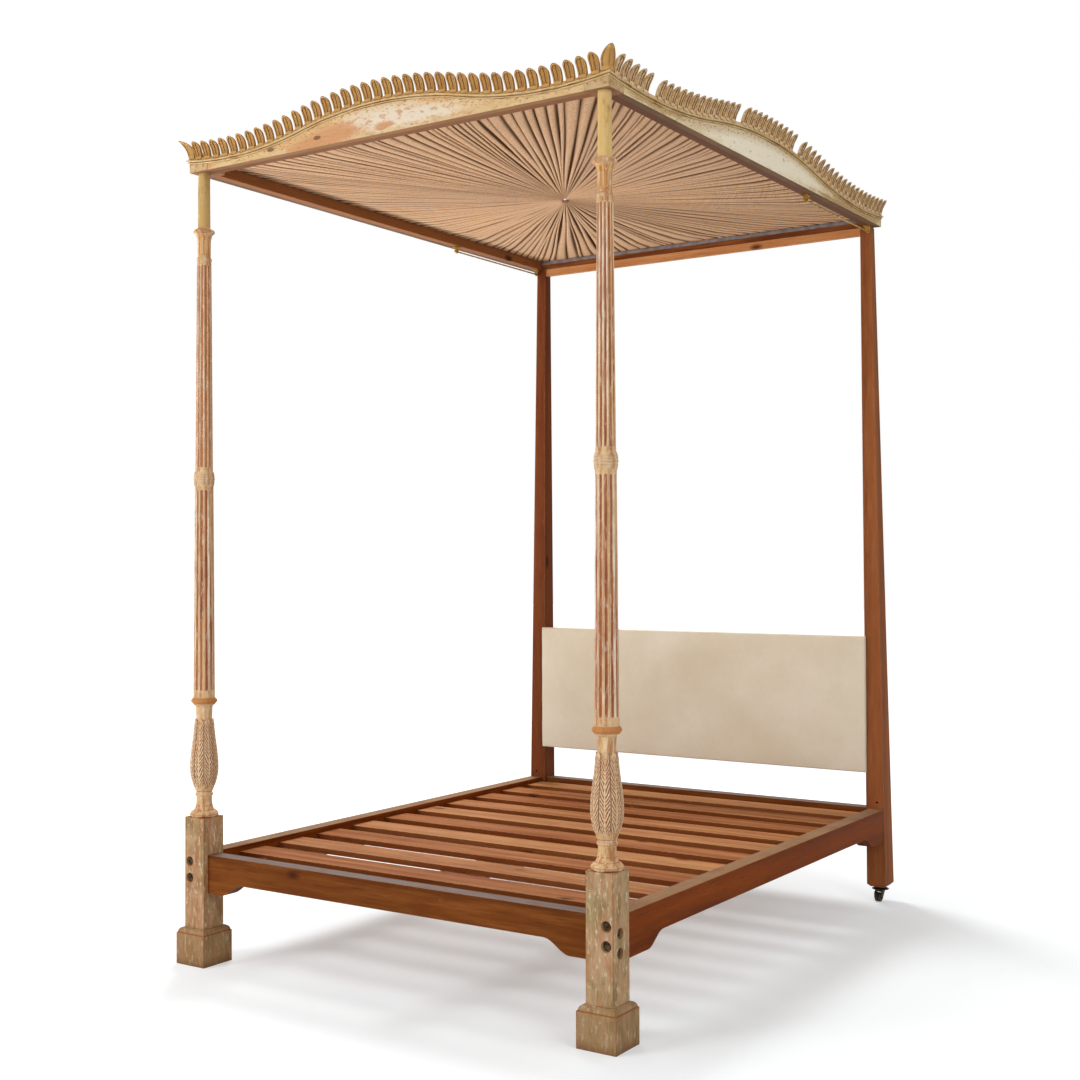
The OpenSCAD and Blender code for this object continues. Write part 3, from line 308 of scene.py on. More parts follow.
view = {"place": (2.7613, -4.3278, 1.2878), "yaw": 33.536, "pitch": 0.70, "roll": -0.166,
        "lens": 49.117, "sensor": 36.0}


def makeCamera():
    yaw, pitch, roll = (math.radians(view[k]) for k in ("yaw", "pitch", "roll"))
    ahead = Vector((-math.sin(yaw) * math.cos(pitch), math.cos(yaw) * math.cos(pitch),
                    math.sin(pitch)))
    right = Vector((math.cos(yaw), math.sin(yaw), 0))
    up = right.cross(ahead)
    x = math.cos(roll) * right + math.sin(roll) * up
    y = math.cos(roll) * up - math.sin(roll) * right
    data = bpy.data.cameras.new("camera")
    data.lens, data.sensor_width, data.sensor_fit = view["lens"], view["sensor"], "HORIZONTAL"
    data.clip_start, data.clip_end = 0.05, 60
    camera = bpy.data.objects.new("camera", data)
    turn = Matrix((x, y, -ahead)).transposed().to_4x4()
    camera.matrix_world = Matrix.Translation(view["place"]) @ turn
    scene.collection.objects.link(camera)
    scene.camera = camera


makeCamera()
scene.view_settings.view_transform = "Standard"

# Floor, world and lamps

# Painted light and shadow on the floor: it glows for the camera, from liftNear round the bed to
# liftFar away from it, so a painted shadow stays round the point that shift sets
studio = {"floorColor": "e2e6e8", "floorHalf": 30, "worldLevel": 0.5,
          "liftNear": 0.25, "liftFar": 0.75,  # the camera sees the floor paler far from the bed
          "nearEdge": 1.0, "farEdge": 3.2, "shift": (-0.35, 0.1, 0)}
lamps = {  # place, target, size, power and spread in degrees
    "keyLamp": ((-3.6, -6.8, 4.6), (0, 0, 1.0), 2.6, 185, 180),
    "fillLamp": ((4.8, -2.4, 3.3), (0.5, 0, 1.9), 2.4, 74, 180),
    "frontLamp": ((-1.6, -5.4, 0.6), (0.1, 0, 2.5), 2.0, 72, 180),
    "underLamp": ((-3.1, -0.7, 0.25), (0, 0.1, 2.5), 1.6, 31, 75),
    "rearLamp": ((-2.6, 2.6, 4.2), (0.1, -0.5, 0.1), 1.9, 46, 90)}


def makeFloor():
    k = studio
    material, tree, where = newMaterial("studioFloor")
    diffuse = put(tree, "BsdfDiffuse", {"Color": rgb(k["floorColor"])}).outputs[0]
    far = put(tree, "VectorMath", {0: stretch(tree, where, (1, 1, 1), k["shift"])},
              operation="LENGTH").outputs["Value"]
    # painted light: the glow is weakest round the bed, which leaves a painted shadow there
    level = remap(tree, far, k["nearEdge"], k["farEdge"], k["liftNear"], k["liftFar"])
    lift = put(tree, "Emission", {"Color": (1, 1, 1, 1), "Strength": level}).outputs[0]
    both = put(tree, "AddShader", {0: diffuse, 1: lift}).outputs[0]
    seen = put(tree, "LightPath").outputs
    shown = calc(tree, "MAXIMUM", seen["Is Camera Ray"], seen["Is Glossy Ray"])
    choose = put(tree, "MixShader", {0: shown, 1: diffuse, 2: both})
    put(tree, "OutputMaterial", {0: choose.outputs[0]})
    a = k["floorHalf"]
    floor = newPiece("studioFloor", [(-a, -a, 0), (a, -a, 0), (a, a, 0), (-a, a, 0)],
                     [(0, 1, 2, 3)], material, smooth=False)


def makeWorld():
    world = bpy.data.worlds.new("studio")
    scene.world = world
    world.use_nodes = True
    tree = world.node_tree
    tree.nodes.clear()
    seen = put(tree, "LightPath").outputs
    shown = calc(tree, "MAXIMUM", seen["Is Camera Ray"],
                 calc(tree, "MAXIMUM", seen["Is Glossy Ray"], seen["Is Transmission Ray"]))
    level = remap(tree, shown, 0, 1, studio["worldLevel"], 1.0)
    light = put(tree, "Background", {"Color": (1, 1, 1, 1), "Strength": level})
    put(tree, "OutputWorld", {0: light.outputs[0]})


def makeLamp(name, spot, target, size, power, spread):
    data = bpy.data.lights.new(name, "AREA")
    data.shape, data.size, data.energy = "SQUARE", size, power
    data.spread = math.radians(spread)
    lamp = bpy.data.objects.new(name, data)
    lamp.location = spot
    lamp.visible_camera = False
    lamp.rotation_mode = "QUATERNION"
    lamp.rotation_quaternion = (Vector(target) - Vector(spot)).to_track_quat("-Z", "Y")
    scene.collection.objects.link(lamp)


makeFloor()
makeWorld()
for lampName, values in lamps.items():
    makeLamp(lampName, *values)
print("camera, stage and lamps made")

# Woods

woodLooks = {
    "railMahogany": {"dark": "4f250b", "mid": "713c17", "light": "935727", "streak": 60.0,
                     "ring": 5.0, "waves": 2.0, "rough": 0.5, "wear": "a06a3c", "worn": 0.42},
    "postMahogany": {"dark": "643018", "mid": "8c4d29", "light": "a3663c", "streak": 70.0,
                     "ring": 5.0, "waves": 2.0, "rough": 0.52, "wear": "b57e50", "worn": 0.45},
    "slatPine": {"dark": "86451c", "mid": "b0703c", "light": "cf9a68", "streak": 50.0,
                 "ring": 5.0, "waves": 4.0, "rough": 0.6, "wear": "cf9f74", "worn": 0.5,
                 "front": "6b3212"},
    "plainPine": {"dark": "7c4a2a", "mid": "a9744a", "light": "c8986a", "streak": 50.0,
                  "ring": 5.0, "waves": 4.0, "rough": 0.6, "wear": "d8b48a", "worn": 0.4},
    "testerWood": {"dark": "5f2e14", "mid": "8a4c26", "light": "a4683c", "streak": 55.0,
                   "ring": 5.0, "waves": 2.5, "rough": 0.55, "wear": "b98559", "worn": 0.4,
                   "under": "9a6a4c"},
    "lathPine": {"dark": "b3703e", "mid": "d4925c", "light": "e3ab76", "streak": 50.0,
                 "ring": 4.0, "waves": 3.0, "rough": 0.55, "wear": "ecc398", "worn": 0.4},
}
woodLooks["sideMahogany"] = dict(woodLooks["railMahogany"], dark="5a2707", mid="7e3a0e",
                                 light="964a1a")
# a darker copy of the tester wood for painted shade, on the underside too
woodLooks["testerDark"] = dict(woodLooks["testerWood"], dark="55290f", mid="7d441f",
                               light="96592f", wear="a06f47", under="674834")
woodMarks = {"pore": "2f160a", "knot": "3a1c0d", "knots": 6.0, "endTopGrimeAndSheen": "786760",
             "sideTopGrimeAndSheen": "94704f", "slatTone": (-0.45, 0.4)}


def grainVector(tree, where, along):
    x, y, z = axes(tree, where)[0:3]
    return joined(tree, *{"x": (y, z, x), "y": (z, x, y), "z": (x, y, z)}[along])


# A tone above 0 goes to the light colour and one below 0 to the dark; the top colour is old grime
# and painted sheen on the upward faces


def woodMaterial(name, look, along, shift=(0, 0, 0), topGrimeAndSheen=None, tone=0.0):
    k = woodLooks[look]
    material, tree, where = newMaterial(name)
    grain = grainVector(tree, stretch(tree, where, (1, 1, 1), shift), along)
    lines = place(tree, woodGrain, {"Vector": grain, "Streak Scale": k["streak"],
                                    "Ring Scale": k["ring"], "Waviness": k["waves"]})
    wear = wearAndShadeMasks(tree, where, 0.004, worn=k["worn"])
    facing = axes(tree, facingOf(tree))
    color = blend(tree, lines["Figure"], 0.2, 0.8, k["dark"], k["mid"])
    color = tintBy(tree, color, lines["Streaks"], 0.42, 0.75, k["light"], 0.8)
    cloud = noise(tree, stretch(tree, grain, (1, 1, 0.3)), 6.0, 4)
    color = tintBy(tree, color, cloud, 0.35, 0.7, k["dark"], 0.4)
    if tone:
        color = tint(tree, color, abs(tone), k["light"] if tone > 0 else k["dark"])
    # painted shade: faces that look towards the foot end take the darker colour
    if "front" in k:
        color = tintBy(tree, color, facing[1], -0.5, -0.8, k["front"], 0.85)
    if "under" in k:
        color = tintBy(tree, color, facing[2], -0.5, -0.8, k["under"], 0.7)
    color = tint(tree, color, lines["Pores"], woodMarks["pore"], 0.45)
    knots = put(tree, "TexVoronoi", {"Vector": stretch(tree, grain, (1, 1, 0.45)),
                                     "Scale": woodMarks["knots"],
                                     "Randomness": 1.0}).outputs["Distance"]
    color = tintBy(tree, color, knots, 0.1, 0.04, woodMarks["knot"], 0.85)
    if topGrimeAndSheen is not None:
        # old grime and painted sheen on the faces that look up
        grimeAndSheen = times(tree, remap(tree, facing[2], 0.7, 0.9),
                      remap(tree, noise(tree, where, 9.0, 5, 0.6), 0.3, 0.55, 0.6, 1.0))
        color = tint(tree, color, grimeAndSheen, topGrimeAndSheen)
    color = tint(tree, color, wear["Edge"], k["wear"], 0.6)
    scuff = chipMask(tree, stretch(tree, grain, (1, 1, 0.2)), 60.0, 0.1, 14.0)
    color = tint(tree, color, scuff, k["wear"], 0.3)
    rough = remap(tree, lines["Streaks"], 0.3, 0.7, k["rough"] - 0.06, k["rough"] + 0.12)
    finishMaterial(tree, color, rough, lines["Height"], 0.0007, softNormal(tree, 0.0018),
                   Specular_IOR_Level=0.03)
    return material


def dressWoods():
    endRail = woodMaterial("endMahogany", "railMahogany", "x", topGrimeAndSheen=woodMarks["endTopGrimeAndSheen"])
    sideRail = woodMaterial("sideMahogany", "sideMahogany", "y", topGrimeAndSheen=woodMarks["sideTopGrimeAndSheen"])
    pine = woodMaterial("plainPine", "plainPine", "y")
    tester = woodMaterial("testerWood_x", "testerWood", "x")
    # the tone darkens the left head post as painted shade and lightens the right one as painted
    # light
    for side, tone in (("left", -0.6), ("right", 0.3)):
        dress("head_post_" + side, woodMaterial("postMahogany_" + side, "postMahogany", "z",
                                                tone=tone))
        dress("side_rail_" + side, sideRail)
        dress("ledger_" + side, pine)
    # painted shade on the right tester rail through testerDark, painted light on the left one
    # through its tone
    dress("tester_rail_right", woodMaterial("testerWood_right", "testerDark", "y"))
    dress("tester_rail_left", woodMaterial("testerWood_left", "testerWood", "y", tone=0.75))
    for name, material in (("foot_rail", endRail), ("head_rail", endRail),
                           ("centre_bearer", pine), ("tester_rail_foot", tester),
                           ("tester_head_board", tester)):
        dress(name, material)
    dress("head_lath", woodMaterial("lathPine", "lathPine", "x"))
    dress("headboard_back", woodMaterial("backPine", "plainPine", "x"))
    draw = random.Random(4)
    for name in sorted(n for n in cadNodes if n.startswith("slat_")):
        shift = (draw.uniform(-3, 3), draw.uniform(-3, 3), draw.uniform(-3, 3))
        dress(name, woodMaterial(name + "_pine", "slatPine", "x", shift,
                                 tone=draw.uniform(*woodMarks["slatTone"])))


dressWoods()
print("woods finished")

# Painted woods: posts, cornice boards and leaves. Heights are in metres above the floor

paintShine = 0.12


def finishPaint(tree, color, cloud, height, depth, normal=None, rough=0.6):
    finishMaterial(tree, color, remap(tree, cloud, 0.3, 0.7, rough, rough + 0.2), height, depth,
                   normal, Specular_IOR_Level=paintShine)


postPaint = {
    "cream": "dfbc8e", "ochre": "c99965", "white": "eed9c0", "flute": "ad6b4a",
    "fluteDeep": "8a4c30", "bare": "a5683e", "fleck": "f0e2ca", "turned": "cba070",
    "gilt": "b9741f", "salmon": "c08558", "rim": "b06c3c", "deep": "4b2a16",
    "ring": "c98b52", "ringDull": "b3743f",
    "sage": "85704a", "sagePale": "a0895f", "worn": "c69f7c", "scratch": "d9c8aa",
    "edge": "9c5c2c", "plinth": "8b6a43", "ground": "6f4a2a",
    "yellow": "cfab69", "yellowPale": "dcbd84", "yellowWorn": "b98f5c", "stain": "a2693f",
    "yellowPaintedShade": "a27c42",
    "fluteCount": 12.0, "bellCount": 8.0, "groundAt": 0.03, "plinthAt": 0.115, "blockTop": 0.466,
    "rims": [(0.4735, 0.0014), (0.4865, 0.0012), (0.5, 0.0016), (0.5465, 0.0022)],
    "ringAt": 0.834, "ringHalf": 0.0115, "lowShaft": (0.868, 1.508), "highShaft": (1.581, 2.229),
    "bell": (2.262, 2.324), "topAt": 2.352, "stainAt": (2.43, 2.5)}


def postMasks(tree, where, side):
    low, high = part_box("foot_post_" + side)
    centre = stretch(tree, where, (1, 1, 1), (-(low.x + high.x) / 2, -(low.y + high.y) / 2, 0))
    x, y, z = axes(tree, centre)[0:3]
    return {"centre": centre, "z": z, "angle": calc(tree, "ARCTAN2", y, x),
            "wear": wearAndShadeMasks(tree, where, 0.0045, 60.0, 0.6, 0.011),
            "streak": noise(tree, stretch(tree, where, (1, 1, 0.07)), 110.0, 7, 0.65),
            "patch": noise(tree, stretch(tree, where, (1, 1, 0.4)), 14.0, 6, 0.6),
            "rubbed": chipMask(tree, stretch(tree, where, (1, 1, 0.13)), 80.0, 0.42, 8.0),
            "flecks": chipMask(tree, stretch(tree, where, (1, 1, 0.22), (3, 1, 2)),
                               120.0, 0.3, 12.0),
            "scratch": chipMask(tree, stretch(tree, where, (1, 1, 0.35), (7, 2, 5)),
                                95.0, 0.3, 12.0)}


def lobes(tree, m, count):  # 1 in each hollow round the post and -1 on each ridge
    return calc(tree, "COSINE", times(tree, m["angle"], count))


def turnedPaint(tree, m, salmon):
    k, z = postPaint, m["z"]
    byRidge = noise(tree, stretch(tree, m["centre"], (58, 58, 1.3), (4, 9, 1)), 1.0, 2)
    ridge = blend(tree, byRidge, 0.4, 0.56, k["cream"], k["ochre"])
    ridge = tintBy(tree, ridge, byRidge, 0.44, 0.34, k["white"])
    ridge = tint(tree, ridge, m["rubbed"], k["bare"], 0.75)
    byFlute = noise(tree, stretch(tree, m["centre"], (58, 58, 1.1)), 1.0, 3)
    flute = blend(tree, m["streak"], 0.35, 0.65, k["flute"], k["fluteDeep"])
    flute = tintBy(tree, flute, byFlute, 0.42, 0.3, k["cream"], 0.8)
    high = within(tree, z, *k["highShaft"])
    shafts = plus(tree, within(tree, z, *k["lowShaft"]), high)
    groove = plus(tree, lobes(tree, m, k["fluteCount"]),
                  remap(tree, m["streak"], 0.3, 0.7, -0.35, 0.35))
    groove = times(tree, remap(tree, groove, -0.25, 0.4), shafts)

    color = blend(tree, m["patch"], 0.38, 0.62, k["turned"], k["cream"])
    color = tint(tree, color, m["rubbed"], k["bare"], 0.8)
    color = tintBy(tree, color, m["wear"]["Hollow"], 0.2, 0.6, k["flute"], 0.7)
    rims = 0.0
    for level, halfTall in k["rims"]:
        rims = plus(tree, rims, within(tree, z, level - halfTall, level + halfTall, 0.0008))
    rims = times(tree, rims, remap(tree, m["flecks"], 0.0, 0.6, 0.75, 0.1))
    color = tint(tree, color, rims, k["rim"])
    color = mix(tree, shafts, color, ridge)
    color = mix(tree, groove, color, flute)
    gilt = times(tree, remap(tree, lobes(tree, m, k["bellCount"]), -0.1, 0.6),
                 within(tree, z, *k["bell"]))
    color = tint(tree, color, gilt, k["gilt"])
    color = tint(tree, color, high, k["salmon"], salmon)
    color = tint(tree, color, m["flecks"], k["fleck"], 0.35)
    return tint(tree, color, m["wear"]["Edge"], k["fleck"], 0.45)


def blockPaint(tree, where, m, salmon):
    k = postPaint
    wood = blend(tree, m["streak"], 0.35, 0.7, k["bare"], k["flute"])
    mottle = noise(tree, stretch(tree, where, (1, 1, 0.55), (2, 3, 1)), 38.0, 8, 0.72)
    color = blend(tree, mottle, 0.4, 0.6, k["sage"], k["sagePale"])
    brushed = noise(tree, stretch(tree, where, (1, 1, 0.05), (1, 4, 1)), 130.0, 5, 0.7)
    color = tintBy(tree, color, brushed, 0.5, 0.75, k["scratch"], 0.35)
    worn = chipMask(tree, stretch(tree, where, (1, 1, 0.45), (4, 7, 3)), 24.0, 0.52, 9.0)
    color = tint(tree, color, worn, k["worn"], 0.6)
    color = mix(tree, times(tree, m["rubbed"], 0.4 + salmon * 0.5), color, wood)
    color = mix(tree, salmon * 0.4, color, wood)
    color = tint(tree, color, m["scratch"], k["scratch"], 0.75)
    color = tintBy(tree, color, m["z"], k["plinthAt"] + 0.002, k["plinthAt"] - 0.002,
                   k["plinth"], 0.5)
    color = tint(tree, color, m["wear"]["Edge"], k["edge"])
    return tintBy(tree, color, m["z"], k["groundAt"], 0.0, k["ground"], 0.7)


def topPaint(tree, m, dull):
    k = postPaint
    color = blend(tree, m["streak"], 0.35, 0.7, k["yellow"], k["yellowPale"])
    color = tint(tree, color, m["scratch"], k["yellowWorn"], 0.5)
    stain = times(tree, remap(tree, m["patch"], 0.5, 0.6),
                  within(tree, m["z"], *k["stainAt"], 0.02))
    color = tint(tree, color, stain, k["stain"])
    # painted shade that darkens the plain top, as far as dull says
    return tint(tree, color, dull, k["yellowPaintedShade"])


def paintedPost(side, salmon):  # salmon is the share of worn pink wood; it also sets the painted shade on the plain top
    k = postPaint
    material, tree, where = newMaterial("postPaint_" + side)
    m = postMasks(tree, where, side)
    color = mix(tree, remap(tree, m["z"], k["blockTop"] - 0.001, k["blockTop"] + 0.001),
                blockPaint(tree, where, m, salmon), turnedPaint(tree, m, salmon))
    color = mix(tree, remap(tree, m["z"], k["topAt"] - 0.002, k["topAt"] + 0.002), color,
                topPaint(tree, m, salmon))
    ringOff = calc(tree, "ABSOLUTE", minus(tree, m["z"], k["ringAt"]))
    ring = blend(tree, m["streak"], 0.3, 0.7, k["ring"], k["ringDull"])
    color = mix(tree, remap(tree, ringOff, k["ringHalf"], k["ringHalf"] - 0.003), color, ring)
    # painted shade: the deep colour darkens the deepest hollows
    color = tintBy(tree, color, m["wear"]["Hollow"], 0.5, 0.8, k["deep"], 0.8)
    height = minus(tree, times(tree, m["streak"], 0.6),
                   plus(tree, times(tree, m["rubbed"], 0.5), times(tree, m["scratch"], 0.3)))
    finishPaint(tree, color, m["patch"], height, 0.0009, softNormal(tree, 0.0016))
    return material


cornice = {"dipAt": 0.774, "hump": 0.07, "dipLevel": 0.028}  # as in the part's curve


# Height above the cornice's curve, an arc over the middle and a dip on either side


def belowCurve(tree, run, z, half):
    dip, rise = cornice["dipAt"] * half, cornice["hump"]
    bend = (dip * dip + rise * rise) / (4 * rise)
    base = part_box("fascia_foot")[0].z + cornice["dipLevel"]
    along = calc(tree, "ABSOLUTE", run)
    past = minus(tree, along, dip)
    arc, bowl = (calc(tree, "SQRT", minus(tree, bend * bend, times(tree, off, off)))
                 for off in (along, past))
    top = plus(tree, arc, base + rise - bend)
    low = minus(tree, base + bend, bowl)
    inner = calc(tree, "LESS_THAN", along, dip / 2)
    level = plus(tree, low, times(tree, inner, minus(tree, top, low)))
    return minus(tree, z, level)


def alongBoard(tree, where, part):
    low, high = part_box("fascia_" + part)
    x, y, z = axes(tree, where)[0:3]
    if part == "foot":
        return x, z, high.x
    return minus(tree, y, (low.y + high.y) / 2), z, (high.y - low.y) / 2


# Patches are (middle, height, half length, half height, colour) and knots (middle, height)
footBoard = {
    "paint": "cba97a", "pale": "d9bd94", "chalk": "dfd0bb", "pink": "cb9670",
    "bareLight": "d49f74", "bareDark": "bc8054", "chipped": 0.34, "band": "d6b680",
    "spot": "86492c", "underDark": "805a39", "underPale": "b3895f", "knot": "6b4630",
    "hollow": "5a3b26", "knots": [(-0.24, 2.556), (-0.43, 2.549), (0.62, 2.6)],
    "patches": [(0.1, 2.585, 0.26, 0.045, "chalk"), (-0.25, 2.56, 0.18, 0.034, "bare"),
                (0.02, 2.552, 0.035, 0.012, "bare"), (0.27, 2.6, 0.12, 0.018, "pink"),
                (0.47, 2.585, 0.12, 0.026, "chalk"), (0.66, 2.565, 0.05, 0.02, "bare"),
                (-0.71, 2.55, 0.05, 0.022, "bare")]}
sideBoard = {
    "paint": "dcc59b", "pale": "ead9b8", "chalk": "f0e4cc", "dull": "b08d5e",
    "bareLight": "b99a6c", "bareDark": "96723f", "chipped": 0.2, "band": "c6a878",
    "spot": "6e4a2a", "underDark": "432c1c", "underPale": "8a6c50", "hollow": "5a3b26",
    "knots": [],
    "patches": [(-0.1, 2.575, 0.5, 0.045, "chalk"), (0.72, 2.57, 0.24, 0.06, "dull"),
                (-0.78, 2.56, 0.16, 0.03, "dull"), (0.55, 2.536, 0.25, 0.008, "dull")]}
shadyBoard = dict(sideBoard, paint="ab8f64", pale="bba67f", chalk="c0b292", band="ad9468")


def boardPaint(part, outward, look):
    material, tree, where = newMaterial("boardPaint_" + part)
    run, z, half = alongBoard(tree, where, part)
    drop = belowCurve(tree, run, z, half)
    facing = put(tree, "VectorMath", {0: facingOf(tree), 1: outward}, operation="DOT_PRODUCT")
    flat = joined(tree, run, times(tree, z, 2.2))
    wear = wearAndShadeMasks(tree, where)
    cloud = noise(tree, flat, 7.0, 7, 0.62)
    color = blend(tree, cloud, 0.38, 0.6, look["paint"], look["pale"])
    bare = mix(tree, noise(tree, stretch(tree, flat, (0.1, 1, 1)), 60.0, 5),
               rgb(look["bareLight"]), rgb(look["bareDark"]))
    coarse, fine = noise(tree, flat, 18.0, 8, 0.7), noise(tree, flat, 130.0, 3)
    ragged = plus(tree, times(tree, minus(tree, coarse, 0.5), 2.2),
                  times(tree, minus(tree, fine, 0.5), 0.9))
    for middle, level, halfRun, halfTall, kind in look["patches"]:
        far = calc(tree, "SQRT", squareSum(
            tree, calc(tree, "DIVIDE", minus(tree, run, middle), halfRun),
            calc(tree, "DIVIDE", minus(tree, z, level), halfTall)))
        inside = remap(tree, plus(tree, far, ragged), 1.2, 0.85, 0.0, 0.9)
        color = mix(tree, inside, color, bare if kind == "bare" else rgb(look[kind]))
    chips = chipMask(tree, flat, 30.0, look["chipped"], 14.0)
    color = mix(tree, times(tree, chips, 0.8), color, bare)
    band = remap(tree, drop, -0.04, -0.016)  # follows the curve below the moulding
    color = tint(tree, color, band, look["band"], 0.6)
    spots = chipMask(tree, stretch(tree, flat, (1, 1, 1), (5, 5, 0)), 75.0,
                     remap(tree, band, 0.0, 1.0, 0.16, 0.36), 20.0)
    color = tint(tree, color, spots, look["spot"], 0.7)
    for middle, level in look["knots"]:
        far = squareSum(tree, times(tree, minus(tree, run, middle), 60.0),
                        times(tree, minus(tree, z, level), 150.0))
        color = tintBy(tree, color, plus(tree, far, ragged), 1.1, 0.6, look["knot"], 0.8)
    color = tint(tree, color, wear["Edge"], look["bareDark"], 0.7)
    under = mix(tree, noise(tree, stretch(tree, flat, (0.08, 1, 1)), 70.0, 6, 0.6),
                rgb(look["underDark"]), rgb(look["underPale"]))
    color = mix(tree, remap(tree, facing.outputs["Value"], 0.4, 0.6), under, color)
    # painted shade in the board's hollows
    color = tintBy(tree, color, wear["Hollow"], 0.35, 0.75, look["hollow"], 0.6)
    finishPaint(tree, color, cloud, minus(tree, cloud, times(tree, chips, 0.5)), 0.0008,
                softNormal(tree, 0.0015), 0.65)
    return material


leafLooks = {
    "leafOchre": {"base": "9d6c32", "pale": "b28346", "rim": "cfa869", "shade": "7c5330",
                  "chip": "a8613c", "chipped": 0.16, "shaded": 0.5},
    "leafWorn": {"base": "a67a3f", "pale": "c99f62", "rim": "ebd3a8", "shade": "62431f",
                 "chip": "ead6ba", "chipped": 0.36, "shaded": 0.9}}
leafMarks = {"deep": "382113", "edge": "7c4322"}


def leafPaint(name):
    k = leafLooks[name]
    material, tree, where = newMaterial(name)
    wear = wearAndShadeMasks(tree, where, patches=120.0)
    hollow = wear["Hollow"]
    cloud = noise(tree, where, 22.0, 5)
    fine = noise(tree, stretch(tree, where, (1, 1, 0.3)), 210.0, 4, 0.6)
    color = blend(tree, cloud, 0.35, 0.65, k["base"], k["pale"])
    color = tintBy(tree, color, fine, 0.5, 0.75, k["rim"], 0.4)
    # Painted light and shade from the hollow mask: the rim colour on the open faces, the shade
    # colour in the hollows and the deep colour in the gaps between leaves
    color = tintBy(tree, color, hollow, 0.15, 0.0, k["rim"], 0.45)
    color = tintBy(tree, color, hollow, 0.16, 0.5, k["shade"], k["shaded"])
    color = tintBy(tree, color, hollow, 0.5, 0.85, leafMarks["deep"])
    color = tint(tree, color, chipMask(tree, where, 95.0, k["chipped"], 12.0), k["chip"], 0.7)
    color = tint(tree, color, wear["Edge"], leafMarks["edge"], 0.8)
    finishPaint(tree, color, cloud, fine, 0.0005, softNormal(tree, 0.0009))
    return material


# Lines are (depth below the curve, half width)
moulding = {"base": "c9a974", "pale": "dabf8f", "line": "8f5f38", "chip": "b4774c",
            "edge": "a8764a", "deep": "54341c",
            "lines": [(-0.0058, 0.0007), (-0.0108, 0.0008), (-0.0012, 0.0005)]}


def mouldingPaint(part):
    k = moulding
    material, tree, where = newMaterial("mouldingPaint_" + part)
    run, z, half = alongBoard(tree, where, part)
    drop = belowCurve(tree, run, z, half)
    wear = wearAndShadeMasks(tree, where, 0.002, 90.0, hollow=0.01)
    cloud = noise(tree, where, 18.0, 6, 0.6)
    color = blend(tree, cloud, 0.38, 0.62, k["base"], k["pale"])
    broken = noise(tree, stretch(tree, where, (1, 1, 1), (2, 5, 0)), 45.0, 5, 0.6)
    for level, halfWide in k["lines"]:
        off = calc(tree, "ABSOLUTE", minus(tree, drop, level))
        line = times(tree, remap(tree, off, halfWide * 1.5, halfWide * 0.5),
                     remap(tree, broken, 0.4, 0.55, 0.15, 0.9))
        color = tint(tree, color, line, k["line"])
    color = tint(tree, color, chipMask(tree, where, 70.0, 0.26, 12.0), k["chip"], 0.7)
    color = tint(tree, color, wear["Edge"], k["edge"], 0.5)
    # painted shade in the moulding's hollows
    color = tintBy(tree, color, wear["Hollow"], 0.35, 0.75, k["deep"], 0.75)
    finishPaint(tree, color, cloud, cloud, 0.0006)
    return material


corner = {"left": ("bb9a6e", "cdb083"), "right": ("b09468", "c8ae84"), "chip": "9f603a",
          "edge": "95643c", "underDark": "7d5238", "underPale": "a0734f"}


def cornerPaint(side):
    k = corner
    paint, pale = k[side]
    material, tree, where = newMaterial("cornerPaint_" + side)
    wear = wearAndShadeMasks(tree, where, patches=80.0)
    cloud = noise(tree, where, 20.0, 6, 0.62)
    color = blend(tree, cloud, 0.38, 0.62, paint, pale)
    color = tint(tree, color, chipMask(tree, where, 60.0, 0.38, 14.0), k["chip"], 0.75)
    wood = mix(tree, noise(tree, stretch(tree, where, (8, 1, 1)), 12.0, 5),
               rgb(k["underDark"]), rgb(k["underPale"]))
    facingDown = remap(tree, axes(tree, facingOf(tree))[2], -0.4, -0.8)
    color = mix(tree, facingDown, color, wood)
    color = tint(tree, color, wear["Edge"], k["edge"], 0.6)
    finishPaint(tree, color, cloud, cloud, 0.0007)
    return material


def dressPaint():
    ochre, worn = leafPaint("leafOchre"), leafPaint("leafWorn")
    for side, salmon, look in (("left", 0.4, shadyBoard), ("right", 0.05, sideBoard)):
        post = paintedPost(side, salmon)
        dress("foot_post_" + side, post)
        dress("plinth_" + side, post)
        dress("fascia_" + side, boardPaint(side, (signOf[side], 0, 0), look))
        dress("corner_block_" + side, cornerPaint(side))
        dress("corner_leaf_" + side, ochre)
    dress("fascia_foot", boardPaint("foot", (0, -1, 0), footBoard))
    for part in ("foot",) + sides:
        dress("leaves_" + part, ochre if part == "foot" else worn)
        dress("moulding_" + part, mouldingPaint(part))


dressPaint()
print("painted woods finished")

# Metals: bright colour, dull colour and roughness

metals = {"brass": ("c9a04c", "7a5a24", 0.34), "bedIron": ("6a5843", "2a1c12", 0.6),
          "castorMetal": ("55493a", "2a231c", 0.45)}


def metalMaterial(name):
    bright, dull, rough = metals[name]
    material, tree, where = newMaterial(name)
    wear = wearAndShadeMasks(tree, where, 0.0015, 160.0, hollow=0.006)
    cloud = noise(tree, where, 90.0, 6, 0.65)
    color = blend(tree, cloud, 0.4, 0.65, dull, bright)
    color = tintBy(tree, color, wear["Hollow"], 0.2, 0.7, dull, 0.8)
    color = tint(tree, color, wear["Edge"], bright, 0.6)
    finishMaterial(tree, color, remap(tree, cloud, 0.3, 0.7, rough + 0.2, rough), cloud, 0.0003,
                   Metallic=0.9)
    return material


def dressMetals():
    brass, iron, castor = (metalMaterial(n) for n in ("brass", "bedIron", "castorMetal"))
    for name in ("curtain_rod_left", "curtain_rod_right", "curtain_brackets"):
        dress(name, brass)
    for name in ("foot_bolts", "head_bolts", "tester_pins"):
        dress(name, iron)
    for side in sides:
        for part in ("plate", "fork", "axle", "wheel"):
            dress("castor_" + part + "_" + side, castor)


dressMetals()
print("metals finished")

